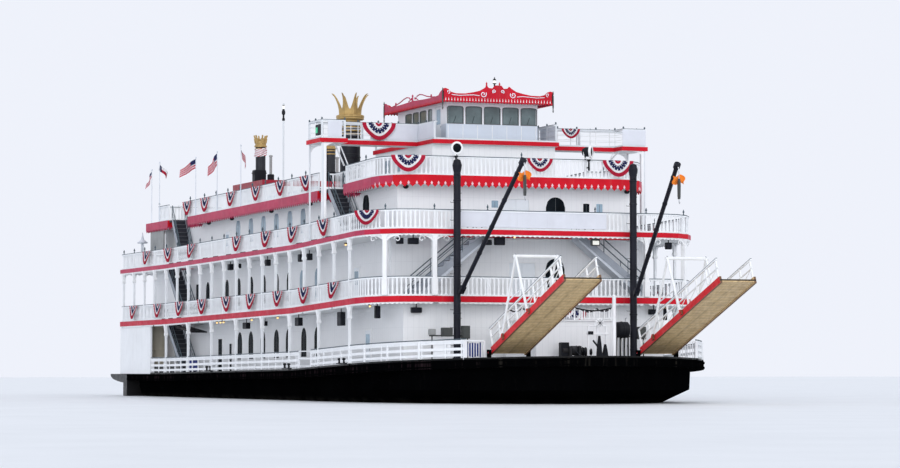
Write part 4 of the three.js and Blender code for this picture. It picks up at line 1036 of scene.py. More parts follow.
# Side flights: foot, head, deck, deck above, edges across
FLIGHTS = ((-18.9, -23.1, "main", "second", 8.42, 9.3), (-18.9, -23.1, "second", "third", 8.42, 9.3),
           (-22.85, -25.2, "third", "fourth", 7.44, 8.3), (12.65, 9.1, "third", "fourth", 7.44, 8.3))
for _, side in SIDES:
    for foot, head, deck, above, y0, y1 in FLIGHTS:
        low = max(top(deck, foot), top(deck, head))
        dress(foot, head, low, top(above, head), *sorted((side * y0, side * y1)))
    # Front pair, which climbs across the ship
    stairs.put(along=(0, side, 0), out=(1, 0, 0))
    dress(7.4, 2.8, top("second", 20.95), top("third", 20), 19.95, 20.95)
    # Rails round the stair wells of the second and third deck
    stairs.put().use(cap_paint)
    for y, z in ((side * y, top(deck, -20)) for y in (8.3, 9.42) for deck in ("second", "third")):
        for lift in (0.5, 1.0):
            stairs.tube([(-23.2, y, z + lift), (-19.2, y, z + lift)], 0.028)
        for x in (-23.2, -21.2, -19.2):
            stairs.tube([(x, y, z + 0.01), (x, y, z + 1.0)], 0.028)
stairs.done()

# Wheelhouse windows
cab = Kit("wheelhouse_windows", slot="house_white")


def cab_window(w):
    cab.use(bar_grey).rim(arched(w, 1.0, 0.08, 3.0, 0.03), arched(w, 1.0, 0.08, 3.0, -0.025), -0.05, 0.015)
    cab.use(glass_grey).slab(arched(w, 1.0, 0.08, 3.0, -0.02), -0.045, -0.025)


for y in (k * 1.17 for k in range(-2, 3)):
    cab.on_front(CAB[1], y, CAB_SILL)
    cab_window(1.0)
    cab.use(black).tube([(-0.1, 0.0, 0.03), (0.05, 0.005, 0.45)], 0.01, 5)
for y in (-1.6, 0, 1.6):
    cab.on_front(CAB[0], y, CAB_SILL, -1)
    cab_window(1.0)
for x, w in ((8.2, 1.1), (9.45, 1.0), (10.7, 1.1), (11.9, 0.6)):
    for _, side in SIDES:
        cab.on_side(x, side * CAB[2], CAB_SILL, side)
        cab_window(w)
# Upright seams of the panels below the windows
for y in (k * 0.93 for k in range(-3, 4)):
    cab.on_front(CAB[1], y, 15.4).use(white).box(-0.018, 0.018, 0.001, 0.02, 0, 0.86, 0.004)
cab.done()
for name, side in SIDES:
    pane = Kit("wheelhouse_door_glass_" + name, "wheelhouse_leaf_" + name, "door_white")
    pane.on_side(13.225, side * 2.85, CAB_SILL, side)
    pane.use(glass_blue).box(-0.335, 0.335, -0.012, 0.012, 0.01, 0.89, 0.004)
    pane.use(steel).box(0.4, 0.45, 0.03, 0.07, -0.25, -0.1, 0.01).done()

# Wheelhouse roof: toothed edge, crests with scrolls, corner finials and lantern
roof = Kit("wheelhouse_roof_board", slot="red_paint")
aft, fore, half = ROOF
for x, y, heading, step in walk([(aft, -half), (fore, -half), (fore, half), (aft, half)], 0.187):
    roof.on_edge(x, y, EAVE, heading)
    roof.use(red).slab([(-0.07, 0.04), (-0.07, -0.03), (0, -0.12), (0.07, -0.03), (0.07, 0.04)], -0.05, 0.004)
    if abs(math.sin(heading)) > 0.5:
        roof.use(white).slab([(step / 2 - 0.028, 0.0), (step / 2, 0.2), (step / 2 + 0.028, 0.0)], 0.0, 0.012)


def spiral(cx, cz, r, turns, start, s, d, thick):
    count = int(turns * 10)
    steps = ((r * (1 - 0.8 * k / count), start + k / 10 * 2 * PI) for k in range(count + 1))
    roof.tube([(cx + s * q * math.cos(a), d, cz + q * math.sin(a)) for q, a in steps], thick, 5)


# Outlines of half a crest and of its scrolls: share of the reach, height over the eave
END_CREST = ((0.0, 0.97), (0.06, 0.96), (0.1, 0.78), (0.17, 0.8), (0.2, 0.92), (0.25, 0.78), (0.33, 0.62),
             (0.45, 0.52), (0.6, 0.43), (0.76, 0.42), (0.85, 0.5), (0.9, 0.66), (0.95, 0.72), (1.0, 0.68))
SIDE_CREST = ((0.0, 0.38), (0.12, 0.34), (0.4, 0.3), (0.7, 0.28), (0.86, 0.34), (0.92, 0.52), (0.97, 0.6),
              (1.0, 0.54))
END_SCROLL = ((0.34, 0.32), (0.45, 0.36), (0.58, 0.33), (0.7, 0.3), (0.84, 0.34))
SIDE_SCROLL = ((0.8, 0.27), (0.62, 0.34), (0.46, 0.45), (0.32, 0.6), (0.22, 0.66), (0.13, 0.6), (0.1, 0.45),
               (0.16, 0.38))


def crest(outline, reach, tall):
    one = [(u * reach, v * tall) for u, v in outline]
    other = [(-u, v) for u, v in reversed(one[1:])]
    roof.slab(other + one + [(reach, -0.05), (-reach, -0.05)], -0.08, 0.0)


roof.put().use(roof_red)
roof.box(aft + 0.02, fore - 0.02, -half + 0.02, half - 0.02, EAVE + 0.001, EAVE + 0.2, 0.01)
for x, facing, tall in ((fore, 1, 1.0), (aft, -1, 0.77)):
    roof.on_front(x, 0, EAVE, facing).use(red)
    crest(END_CREST, half, tall)
    for s in (-1, 1):
        roof.use(scroll_white)
        spiral(s * 0.27 * half, 0.42 * tall, 0.2, 1.3, 2.6, s, 0.012, 0.028)
        spiral(s * 0.075 * half, 0.6 * tall, 0.12, 1.3, -1.0, s, 0.012, 0.024)
        spiral(s * 0.9 * half, 0.5 * tall, 0.12, 1.0, -1.6, -s, 0.012, 0.022)
        roof.tube([(s * half * u, 0.012, v * tall) for u, v in END_SCROLL], 0.022, 5)
# Side crests have open scrolls that climb to a spike in the middle. Crests and scrolls are in the pink red of
# painted shade and painted sheen.
reach = (fore - aft) / 2
for side in (1, -1):
    roof.on_side((aft + fore) / 2, side * half, EAVE, side).use(fascia_shade_sheen)
    crest(SIDE_CREST, reach, 1.0)
    for s in (-1, 1):
        roof.tube([(s * reach * u, -0.04, v) for u, v in SIDE_SCROLL], 0.035, 5)
        spiral(s * reach * 0.6, 0.42, 0.12, 1.1, -1.9, s, -0.04, 0.026)
        spiral(s * reach * 0.06, 0.48, 0.1, 1.1, -0.5, s, -0.04, 0.026)
    roof.turned([(0.05, 0.3), (0.04, 0.62), (0.07, 0.66), (0.01, 0.75)], 6)
for x, s in ((x, s) for x in (aft, fore) for s in (-1, 1)):
    roof.use(olive).put(x, s * half, EAVE)
    roof.turned([(0.015, -0.55), (0.045, -0.45), (0.025, -0.36), (0.05, -0.2), (0.045, 0.45), (0.02, 0.5),
                 (0.05, 0.58), (0.012, 0.74)], 8)
for x, z in ((fore - 0.05, 0.97), (aft + 0.05, 0.7)):
    roof.put(x, -0.22, EAVE + z)
    roof.use(black).turned([(0.05, -0.05), (0.05, 0.08), (0.12, 0.1), (0.12, 0.12), (0.03, 0.14)], 8)
    roof.use(lamp_white).turned([(0.09, 0.12), (0.1, 0.22), (0.07, 0.3)], 8)
    roof.use(black).turned([(0.12, 0.3), (0.08, 0.36), (0.02, 0.42), (0.03, 0.45), (0.005, 0.5)], 8)
for y in (-0.72, 0.1):
    roof.use(red).put(fore - 0.05, y, EAVE + 0.88)
    roof.turned([(0.05, -0.04), (0.07, 0.04), (0.03, 0.1), (0.06, 0.16), (0.01, 0.28)], 8)
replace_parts(roof.done(), "wheelhouse_roof")

# Tall smokestacks: tube with bands, brim, drum and eight curved leaves, in place of the plain CAD stacks
# Leaves: height, distance from the middle, half of their width in degrees
LEAF = ((17.62, 0.69, 22.4), (17.93, 0.71, 21.0), (18.1, 0.74, 14.5), (18.28, 0.79, 9.5), (18.48, 0.87, 6.0),
        (18.68, 0.97, 3.6), (18.85, 1.09, 2.2), (18.93, 1.2, 1.0))
# Section of a leaf: share of its half width, thickness in or out
LEAF_SECTION = ((-1, 0.0), (0, 0.04), (1, 0.0), (1, -0.06), (0, -0.05), (-1, -0.06))
for name, side in SIDES:
    node = "smokestack_" + name
    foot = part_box(node)[0][2] / SCALE
    stack = Kit("tall_stack_" + name, slot="black_paint").use(STACK)
    stack.put(TALL_STACK[0], side * TALL_STACK[1], 0)
    stack.turned([(0.75, foot), (0.75, foot + 0.08), (0.64, foot + 0.14), (0.63, foot + 0.3), (0.63, 17.32),
                  (0.6, 17.34)], 32)
    for z in (13.2, 15.0, 16.2):
        stack.band(0.631, 0.66, z, 0.05, 32)
    stack.use(gold)
    for z in (16.44, 16.64, 16.87, 17.11):
        stack.band(0.625, 0.67, z, 0.045, 32)
    stack.turned([(0.6, 17.3), (0.8, 17.32), (0.87, 17.37), (0.85, 17.44), (0.88, 17.5), (0.86, 17.6),
                  (0.7, 17.65), (0.69, 17.7), (0.71, 17.98), (0.62, 18.0), (0.6, 17.7)], 32)
    for turn in (PI / 4 * k for k in range(8)):
        stack.loft([[((r + d) * math.cos(a), (r + d) * math.sin(a), z)
                     for a, d in ((turn + q * math.radians(spread), d) for q, d in LEAF_SECTION)]
                    for z, r, spread in LEAF])
    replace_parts(stack.done(), node)

# Aft stacks: gold leaves and bands, a box and a pipe beside them
# Leaves: height, distance from the middle, half of their width as an angle
SMALL_LEAF = ((17.66, 0.37, 0.5), (17.85, 0.38, 0.4), (18.0, 0.4, 0.2), (18.2, 0.44, 0.1),
              (18.34, 0.47, 0.03))
small = Kit("aft_stack_fittings", slot="black_paint")
for _, side in SIDES:
    small.put(AFT_STACK[0], side * AFT_STACK[1], 0).use(gold)
    small.turned([(0.35, 17.5), (0.44, 17.52), (0.45, 17.6), (0.4, 17.66), (0.36, 17.7), (0.36, 17.95),
                  (0.33, 17.95)], 18)
    for turn in (PI / 3 * k for k in range(6)):
        small.loft([[((r + d) * math.cos(turn + q * w), (r + d) * math.sin(turn + q * w), z)
                     for q, d in ((1, 0), (0, 0.02), (-1, 0), (0, -0.04))] for z, r, w in SMALL_LEAF])
    for z in (17.17, 17.4):
        small.band(0.351, 0.37, z, 0.04, 18)
    small.use(black).box(0.4, 1.05, -0.75, 0.1, 15.01, 15.86, 0.05)
    small.box(0.42, 1.03, -0.8, 0.15, 15.6, 15.68, 0.02)
    small.use(grey).put(-20.9, side * 2.45, 0)
    small.turned([(0.14, 15.01), (0.14, 15.06), (0.1, 15.1), (0.1, 16.7), (0.13, 16.72), (0.13, 16.82),
                  (0.02, 16.86)], 12)
    small.use(black).block(0.2, 0.2, 15.02, 15.5, 0.04)
small.done()

# Bridge wings: boards, sidelight boxes, boxed posts, braces, brackets, rails and knobs
wings = Kit("bridge_wing_fittings", slot="red_paint")
FLOOR = DECKS["bridge"][0]
# Outline of the brackets under the wings: distance inwards, height
BRACKET = ((0, -0.02), (0.8, -0.02), (0.5, -0.06), (0.25, -0.18), (0.08, -0.4), (0, -0.5))
for name, side in SIDES:
    wings.on_front(13.7, side * 9.55, FLOOR)
    a, b = (-0.4, 0.45) if side < 0 else (-0.75, 0.8)
    wings.use(panel_white).slab([(a, 0.1), (a, 1.0), (b, 1.0), (b, 0.1)], 0.055, 0.075)
    wings.on_side(0, side * 10.34, FLOOR, side).use(black).box(12.7, 13.68, -0.14, 0.03, 0.2, 0.82, 0.03)
    wings.use(lens_green if side < 0 else lens_red).box(12.75, 13.1, 0.0, 0.045, 0.32, 0.66, 0.03)
    wings.use(white).put(0, side * 10.17, 0)
    wings.box(13.53, 13.8, -0.13, 0.13, top("third", 13.7) + 1.12, 15.07, 0.03)
    wings.put().tube([(12.5, side * 9.1, 15.1), (11.7, side * 8.25, 13.9)], 0.055)
    wings.tube([(12.5, side * 8.8, 15.1), (12.4, side * 8.25, 13.9)], 0.035)
    for x in (11.33, 13.76):
        wings.on_front(x, side * 10.25, 15.08).slab([(-side * u, v) for u, v in BRACKET], -0.015, 0.015)
    # Boards on the rails beside the wheelhouse
    wings.use(panel_white).on_side(0, side * 3.9, FLOOR, side).box(12.6, 15.15, 0.0, 0.03, 0.1, 0.98, 0.01)
# Board along the starboard walkway
wings.on_front(12.5, 0, FLOOR).box(-6.9, -3.9, 0.0, 0.03, 0.1, 0.98, 0.01)
ring = bridge_ring(RAIL_INSET)
for a, b in zip(ring, ring[1:]):
    if a[0] > 15 and b[0] > 15:
        continue
    wings.put().use(cap_paint).rail([a, b], None, 16.398, 16.43, 0.04)
    count = max(1, round(math.hypot(b[0] - a[0], b[1] - a[1]) / 1.4))
    for k in range(count):
        x, y = a[0] + (b[0] - a[0]) * k / count, a[1] + (b[1] - a[1]) * k / count
        wings.use(cap_paint).put(x, y, 16.42).turned([(0.03, 0), (0.055, 0.05), (0.05, 0.1), (0.01, 0.14)], 7)
        wings.use(rail_white).put().tube([(x, y, 15.43), (x, y, 16.4)], 0.022, 5)
    for z in (15.75, 16.08):
        wings.tube([(*a, z), (*b, z)], 0.014, 5)
wings.done()

# Searchlights in front of the fourth deck's rail: side, bearing
lights = Kit("searchlights", slot="black_paint")
LAMP_X, LAMP_Y, LAMP_Z = 19.38, 4.13, 14.5
for side, bearing in ((-1, 0.0), (1, 0.9)):
    y = side * LAMP_Y
    lights.use(black).put(LAMP_X, y, 0)
    lights.turned([(0.05, 13.4), (0.06, 13.45), (0.05, 13.95), (0.12, 14.0), (0.12, 14.06)], 10)
    lights.box(-0.3, 0.02, -0.04, 0.04, 13.55, 13.62, 0.01)
    c, s = math.cos(bearing), math.sin(bearing)
    lights.put(LAMP_X, y, LAMP_Z, along=(-s, c, 0), out=(0, 0, -1), up=(c, s, 0))
    lights.turned([(0.1, -0.4), (0.2, -0.36), (0.27, -0.2), (0.3, 0.12), (0.27, 0.14)], 16)
    lights.use(white).turned([(0.29, 0.05), (0.36, 0.06), (0.37, 0.17), (0.29, 0.19), (0.26, 0.17),
                              (0.26, 0.13)], 20)
    lights.use(glass_dark).turned([(0.26, 0.12), (0.2, 0.15), (0.02, 0.17)], 16)
    yoke = ((-0.34, LAMP_Z), (-0.3, 14.15), (0, 14.04), (0.3, 14.15), (0.34, LAMP_Z))
    lights.use(white).put(LAMP_X, y, 0).tube([(0, dy, z) for dy, z in yoke], 0.03)
lights.done()

# Lamps under the decks: deck, distance from the middle, places along the ship
ceiling = Kit("ceiling_lamps", slot="black_paint")
LAMPS = (("second", 9.2, (-11.2, -10.4, -9.7, -3.5, 1.9, 19.0)), ("third", 9.0, (-10.4, 14.2)))
lamp_places = [(deck, x, y) for deck, off, places in LAMPS for x, y in mirrored([(x, off) for x in places])]
for deck, x, y in lamp_places + [("third", 22.0, -1.6)]:
    ceiling.use(black).put(x, y, under(deck, x)).turned([(0.09, -0.001), (0.1, -0.04), (0.06, -0.07)], 8)
    ceiling.use(lamp_warm).turned([(0.05, -0.06), (0.065, -0.1), (0.05, -0.14), (0.02, -0.16)], 8)
# Oval lamps on the underside of the fourth deck: x, y
for x, y in mirrored(((-16.6, 8.2), (-11.2, 8.2), (-2.6, 8.2), (4.9, 8.1), (18.6, 6.9))):
    ceiling.use(black).put(x, y, under("fourth", x) - 0.14)
    ceiling.turned([(0.05, 0.138), (0.07, 0.08), (0.16, 0.0), (0.17, -0.06), (0.1, -0.14), (0.02, -0.16)], 12)
# Loudspeaker and lamp boxes on both sides: deck, distance from the middle, x, drop, width, height
BOXES = (
    ("third", 9.1, -8.5, 0.35, 0.5, 0.4),
    ("third", 9.1, -6.7, 0.35, 0.35, 0.3),
    ("third", 9.1, -0.5, 0.4, 0.5, 0.4),
    ("third", 9.1, 6.2, 0.4, 0.5, 0.45),
    ("third", 9.1, 7.8, 0.4, 0.45, 0.4),
    ("second", 9.3, -4.3, 0.45, 0.85, 0.4),
    ("second", 9.3, -0.4, 0.4, 0.3, 0.3),
    ("second", 9.3, 6.4, 0.45, 0.75, 0.5),
    ("second", 9.3, 14.3, 0.6, 0.75, 0.8),
    ("second", 8.9, 19.4, 0.45, 0.3, 0.7),
    ("second", 7.3, 21.4, 0.42, 0.6, 0.3),
)
# Boxes at the front that have no twin: deck, y, x, drop, width, height
LONE_BOXES = (
    ("third", -8.25, 21.3, 0.36, 0.38, 0.35),
    ("third", -7.45, 21.3, 0.36, 0.6, 0.35),
    ("third", -2.2, 21.2, 0.28, 0.6, 0.45),
    ("third", -2.95, 21.2, 0.36, 0.5, 0.3),
    ("third", 8.3, 21.3, 0.4, 0.35, 0.4),
)
pairs = [(deck, s * y, *rest) for deck, y, *rest in BOXES for _, s in SIDES]
# The boxes are black, matched to the shadow under the decks: painted shade on real boxes
for deck, y, x, drop, w, h in pairs + list(LONE_BOXES):
    w, h = w / 2, h / 2
    ceiling.put(x, y, under(deck, x) - drop, 0.0 if abs(y) > 9 else PI / 2)
    ceiling.use(black).block(w, 0.14, -h, h, 0.03)
    ceiling.use(mast_black).box(0.05 - w, w - 0.05, -0.15, -0.13, 0.05 - h, h - 0.05, 0.01)
    ceiling.use(black).tube([(0, 0, h - 0.01), (0, 0, drop)], 0.03)
# Lit floodlight beside the port front stair
ceiling.on_front(21.6, 3.55, under("third", 21.6) - 0.3)
ceiling.use(olive).block(0.28, 0.1, -0.18, 0.22, 0.04)
ceiling.use(lamp_white).box(-0.2, 0.2, 0.09, 0.115, -0.13, 0.1, 0.02)
ceiling.use(black).tube([(0, 0, 0.2), (0, 0, 0.3)], 0.03)
ceiling.done()

# Side decks: tank under the second deck, shelf over the stair, slatted screen and its frame
gear = Kit("side_deck_fittings", slot="house_white")
low, high = top("main", -26.5) + 0.01, under("second", -26.5) - 0.01
middle = (low + high) / 2
for _, side in SIDES:
    gear.use(cream).put(-26.5, side * 8.95, 0)
    gear.turned([(0.55, low), (0.57, low + 0.04), (0.55, low + 0.1), (0.55, middle - 0.03), (0.57, middle),
                 (0.55, middle + 0.03), (0.55, high)], 24)
    # Black shelf over the stair: its black is painted shade on a real shelf
    gear.put(-18.95, side * 8.75, 4.58).use(black)
    gear.loft([[(x, -0.55, z), (x, 0.55, z), (x, 0.55, z + 0.08), (x, -0.55, z + 0.08)]
               for x, z in ((-2.05, 0.19), (2.05, -0.21))])
    gear.put(0, side * 8.28, 0).use(grey)
    for x in (-31.1 + k * 0.25 for k in range(14)):
        gear.box(x, x + 0.22, -0.02, 0.02, 10.15, 11.9)
    for z in (10.25, 11.75):
        gear.box(-31.15, -27.62, -side * 0.04 - 0.02, -side * 0.04 + 0.02, z, z + 0.08)
    for x in (-31.0, -27.8):
        gear.box(x - 0.04, x + 0.04, -side * 0.08 - 0.04, -side * 0.08 + 0.04, 9.08, 11.95)
# Slim stand with a small hood at the stern
gear.put(-31.45, -8.8, top("third", -31.5)).use(string_white)
gear.turned([(0.16, 0.003), (0.16, 0.05), (0.05, 0.1), (0.045, 1.9), (0.36, 1.92), (0.4, 1.98),
             (0.12, 2.2), (0.05, 2.5), (0.03, 2.7)], 12)
for x in (-0.3, 0.3):
    gear.tube([(x, 0, 0.05), (x, 0, 1.93)], 0.025)
# Benches of the open deck
for x, y in mirrored([(x, 5.6) for x in (-16, -11.5, -7, -2.5)]):
    gear.put(x, y, top("fourth", x)).block(0.9, 0.2, 0.42, 0.47, 0.015)
    gear.box(-0.9, 0.9, 0.2, 0.24, 0.5, 0.95, 0.015)
    for k in (-0.75, 0.75):
        gear.box(k - 0.03, k + 0.03, -0.17, 0.24, 0.01, 0.43, 0.01)
gear.done()

# Collar, ball and lantern of the signal pole
pole = Kit("signal_pole_top", slot="red_paint").put(-13.2, -4.0, 0)
pole.use(grey).turned([(0.061, 12.6), (0.12, 12.62), (0.12, 12.75), (0.062, 12.8), (0.062, 13.2)], 8)
pole.use(black).turned([(0.065, 18.6), (0.1, 18.62), (0.1, 18.75), (0.065, 18.8), (0.065, 19.0),
                        (0.12, 19.05), (0.13, 19.2), (0.08, 19.35), (0.062, 19.4)], 8)
pole.use(lamp_white).turned([(0.07, 19.4), (0.08, 19.5), (0.07, 19.62)], 8)
pole.use(black).turned([(0.08, 19.62), (0.05, 19.7), (0.02, 19.78)], 8).done()

# Foredeck house: eaves, roof rail with swags, and a vent
bow = Kit("foredeck_fittings", slot="black_paint")
HOUSE_TOP = 4.6
ROOF_RAIL = [(22.6, -2.25), (26.8, -2.25), (26.8, 2.25), (22.6, 2.25)]
bow.use(white).rail([(22.5, -2.42), (26.97, -2.42), (26.97, 2.42), (22.5, 2.42)], None, 4.55, 4.62, 0.04)
bow.rail(ROOF_RAIL, None, 4.68, 4.72, 0.03)
for x, y, heading, _ in walk(ROOF_RAIL, 0.3, False):
    bow.put(x, y, HOUSE_TOP, heading).block(0.03, 0.02, 0.11, 0.6, 0.004)
for x, y in ROOF_RAIL + [(26.8, 0), (24.7, -2.25), (24.7, 2.25)]:
    bow.put(x, y, HOUSE_TOP).turned([(0.05, 0.01), (0.05, 0.6), (0.065, 0.64), (0.01, 0.72)], 8)
bow.put().use(black)
for (x0, y0), (x1, y1) in zip(ROOF_RAIL, ROOF_RAIL[1:]):
    bow.tube([(x0 + (x1 - x0) * t, y0 + (y1 - y0) * t, 5.27 - 0.16 * math.sin(PI * (2 * t % 1)))
              for t in (k / 12 for k in range(13))], 0.045)
bow.put(24.2, 0, HOUSE_TOP).use(grey)
bow.turned([(0.5, 0.005), (0.5, 0.18), (0.3, 0.22), (0.3, 0.4), (0.42, 0.45), (0.1, 0.55)], 16)
# Windlass gear: motor box to starboard, bed plate, three drums to port and the cable to the bow
WINDLASS = (27.8, -0.5, top("main", 28.3))
CABLE = ((0.26, 0.0, 0.5), (0.9, 0.02, 0.22), (1.6, 0.1, 0.1), (2.3, 0.3, 0.06), (2.7, 0.75, 0.06))
bow.put(*WINDLASS).use(black).box(-0.32, 0.1, -0.75, -0.28, 0.02, 0.95, 0.03)
bow.box(-0.4, 0.5, -1.5, 1.2, 0.012, 0.1, 0.03)
for y, r in ((0.25, 0.36), (0.62, 0.28), (0.95, 0.2)):
    bow.put(WINDLASS[0], WINDLASS[1] + y, WINDLASS[2] + 0.42, along=(1, 0, 0), out=(0, 0, 1), up=(0, 1, 0))
    bow.turned([(0.1, -0.1), (r, -0.08), (r * 0.7, -0.02), (r * 0.7, 0.06), (r, 0.1), (0.1, 0.12)], 18)
bow.put(*WINDLASS).tube(CABLE, 0.035)
# Anchor that stands on the deck with its two slim flukes up
ANCHOR_X = 30.35
bow.put(ANCHOR_X, 0.1, top("main", ANCHOR_X) + 0.02, 0.3)
bow.loft([square(0.25, 0.3, 0.02), square(0.16, 0.26, 0.14)])
for y, tall in ((-0.2, 1.2), (0.22, 0.75)):
    bow.loft([[(-0.1, y - w, h), (0.06, y - w, h), (0.06, y + w, h), (-0.1, y + w, h)]
              for w, h in ((0.16, 0.12), (0.11, tall * 0.5), (0.015, tall))])
bow.tube([(0, 0, 0.15), (-0.35, 0, 0.6), (-0.75, 0, 0.95)], 0.05, 8)
# White stand with a round fan
stand_z = top("main", 29.6)
bow.put(29.6, 0.15, stand_z).use(white).block(0.12, 0.62, 1.3, 1.42, 0.02)
bow.box(-0.1, 0.1, -0.55, 0.5, 1.75, 1.82, 0.02)
for y in (-0.55, 0.0, 0.5):
    bow.box(-0.06, 0.06, y - 0.05, y + 0.05, 0.01, 1.8, 0.015)
bow.use(black).box(0.1, 0.14, -0.62, -0.3, 1.32, 1.5, 0.02)
bow.put(29.72, 0.22, stand_z + 1.95, along=(0, 1, 0), out=(0, 0, -1), up=(1, 0, 0))
bow.use(white).turned([(0.18, -0.06), (0.24, -0.03), (0.24, 0.03), (0.18, 0.05)], 18)
for k in range(4):
    bow.use(black).block(0.2, 0.012, 0.055, 0.065, 0.003)
    bow.place = bow.place @ Matrix.Rotation(PI / 4, 4, "Z")
# Jackstaff
bow.put(30.75, 0.62, top("main", 30.75)).use(white)
bow.turned([(0.14, 0.005), (0.14, 0.06), (0.11, 0.1), (0.1, 3.3), (0.12, 3.36), (0.01, 3.45)], 10)
# Black tank on its legs
z = top("main", 25.9)
bow.put(25.75, 3.35, z + 1.75, along=(0, 0, 1), out=(1, 0, 0), up=(0, 1, 0)).use(black)
bow.turned([(0.1, -0.42), (0.34, -0.39), (0.44, -0.3), (0.45, -0.1), (0.47, -0.08), (0.47, -0.02),
            (0.45, 0.0), (0.45, 0.28), (0.34, 0.38), (0.1, 0.42)], 20)
bow.put(25.75, 3.35, z)
for y in (-0.36 + k * 0.24 for k in range(4)):
    bow.use(black).tube([(0.0, y, 0.02), (0.0, y, 1.35)], 0.05)
    bow.box(-0.1, 0.1, y - 0.1, y + 0.1, 0.012, 0.05, 0.01)
    bow.use(white).box(-0.2, -0.12, y + 0.07, y + 0.17, 0.3, 1.3, 0.01)
bow.use(steel).tube([(0, 0.2, 2.15), (0, 0.2, 2.35), (0.12, 0.2, 2.42)], 0.03)
# Boxes beside the masts: distance from the mast, half of the width and height, paint
for dy, w, h, look in ((-0.62, 0.31, 0.25, olive), (0.5, 0.225, 0.36, olive), (-1.5, 0.175, 0.175, grey)):
    for _, side in SIDES:
        bow.put(MAST[0], side * MAST[1] + dy, 3.95).use(look).block(0.16, w, -h, h, 0.025)
        bow.box(0.16, 0.18, 0.05 - w, w - 0.05, 0.05 - h, h - 0.05)
for _, side in SIDES:
    bow.use(olive).put(MAST[0], side * MAST[1], 0).tube([(0, -1.66, 3.75), (0, 0.7, 3.75)], 0.045)
    for dy in (-1.5, 0.62):
        bow.tube([(0, dy, top("main", MAST[0]) + 0.01), (0, dy, 3.8)], 0.04)
# Double bitts on the edge of the deck, outside the rail: x, y
BITT = ((0.065, 0.15), (0.06, 0.32), (0.1, 0.36), (0.1, 0.42), (0.04, 0.46))
for x, y in mirrored(((-9.67, 10.22), (6.9, 10.22), (17.0, 10.2))):
    bow.put(x, y, top("main", x)).use(black).block(0.85, 0.06, 0.112, 0.17, 0.02)
    for k in (-0.4, 0.4):
        bow.put(x + k, y, top("main", x)).turned(BITT, 10)
bow.done()

# Rubbing strakes of the hull
strakes = Kit("hull_strakes", slot="black_paint").use(HULL)
for _, side in SIDES:
    for z0, z1 in ((-0.12, -0.05), (-0.4, -0.32)):
        strakes.rail(between(main_half(-0.02, side), -29.9, 31.6), "main", z0, z1, 0.03)
strakes.done()


def gangway_fittings(name, side):
    """Handrail caps, struts, cleats, portal braces and end plate of a gangway."""
    ramp = Kit("gangway_fittings_" + name, "gangway_ramp_" + name, "gangway_ochre")
    length = math.hypot(GANGWAY_CLIMB, GANGWAY_RUN)
    pitch = (length - 0.48) / 8
    c, s = math.cos(SLOPE), math.sin(SLOPE)
    foot_x, foot_y, foot_z = GANGWAY_FOOT
    ramp.put(foot_x, side * foot_y, foot_z, along=(c, 0, s), out=(0, 1, 0), up=(-s, 0, c))
    for edge in (-1.0, 1.0):
        ramp.use(cap_paint).box(0.18, length - 0.08, edge - 0.045, edge + 0.045, 1.3, 1.33, 0.006)
        for x in (0.24 + k * pitch for k in range(8)):
            ramp.use(rail_white).tube([(x, edge, 0.32), (x + pitch, edge, 0.8)], 0.022, 5)
        ramp.use(steel).tube([(0.05, edge * 1.05, 0.0), (0.3, edge * 1.05, 0.1)], 0.03, 5)
        ramp.tube([(5.26, edge * 1.16, 3.5), (5.35, edge * 1.16, 3.58), (5.44, edge * 1.16, 3.5)], 0.022, 5)
        ramp.use(rail_white).tube([(3.3, edge * 1.16, 1.62), (5.68, edge * 1.16, 1.5)], 0.035)
    ramp.use(black).box(length - 0.01, length + 0.02, -1.04, 1.04, 0.02, 0.09, 0.01).done()


def boom_fittings(name, side):
    """Bands of a boom, and a block with its hook at the tip."""
    tip = Vector((BOOM_TIP[0], side * BOOM_TIP[1], BOOM_TIP[2]))
    heading = math.atan2(tip.y - side * MAST[1], tip.x - MAST[0])
    heel = Vector((MAST[0] + 0.5 * math.cos(heading), side * MAST[1] + 0.5 * math.sin(heading), BOOM_HEEL))
    way, out = (tip - heel).normalized(), Vector((-math.sin(heading), math.cos(heading), 0))
    spar = Kit("boom_fittings_" + name, "boom_arm_" + name, "black_paint").use(mast_black)
    spar.put(*heel, along=way, out=out, up=way.cross(out))
    for x in (1.2, 3.0, 5.0, 7.0, 9.0):
        spar.loft([[(x + dx, r * math.cos(a), r * math.sin(a)) for a in (k * PI / 6 for k in range(12))]
                   for dx, r in ((-0.06, 0.121), (-0.05, 0.14), (0.05, 0.14), (0.06, 0.121))])
    spar.use(steel).put(*tip).tube([(0.05, 0, -0.1), (0.16, 0, -0.45), (0.17, 0, -0.85)], 0.025)
    spar.use(olive).put(tip.x + 0.17, tip.y, tip.z - 1.45)
    shell = ((-0.5, 0.04), (-0.35, 0.08), (0.25, 0.1), (0.5, 0.08), (0.62, 0.04))
    spar.loft([square(w, 0.06, z) for z, w in shell])
    spar.use(steel).tube([(0, 0, -0.52), (0, 0, -0.66), (0.06, 0, -0.74), (0.1, 0, -0.66)], 0.028).done()


for name, side in SIDES:
    gangway_fittings(name, side)
    boom_fittings(name, side)

# Masts: hoops, steps and a ring at the head
masts = Kit("mast_fittings", slot="black_paint").use(mast_black)
for _, side in SIDES:
    masts.put(MAST[0], side * MAST[1], 0)
    for z in (3.0, 5.0, 7.6, 9.4, 11.3, 12.6):
        masts.band(0.201, 0.222, z, 0.05, 16)
    for k in range(18):
        z, s = 3.2 + k * 0.5, 1 if k % 2 else -1
        if abs(z - BOOM_HEEL) > 0.3:
            masts.tube([(-0.15, s * 0.12, z), (-0.2, s * 0.32, z), (-0.2, s * 0.32, z + 0.05)], 0.014, 5)
    masts.tube([(0.15, -0.1, 12.75), (0.32, 0, 12.75), (0.15, 0.1, 12.75)], 0.025)
masts.done()

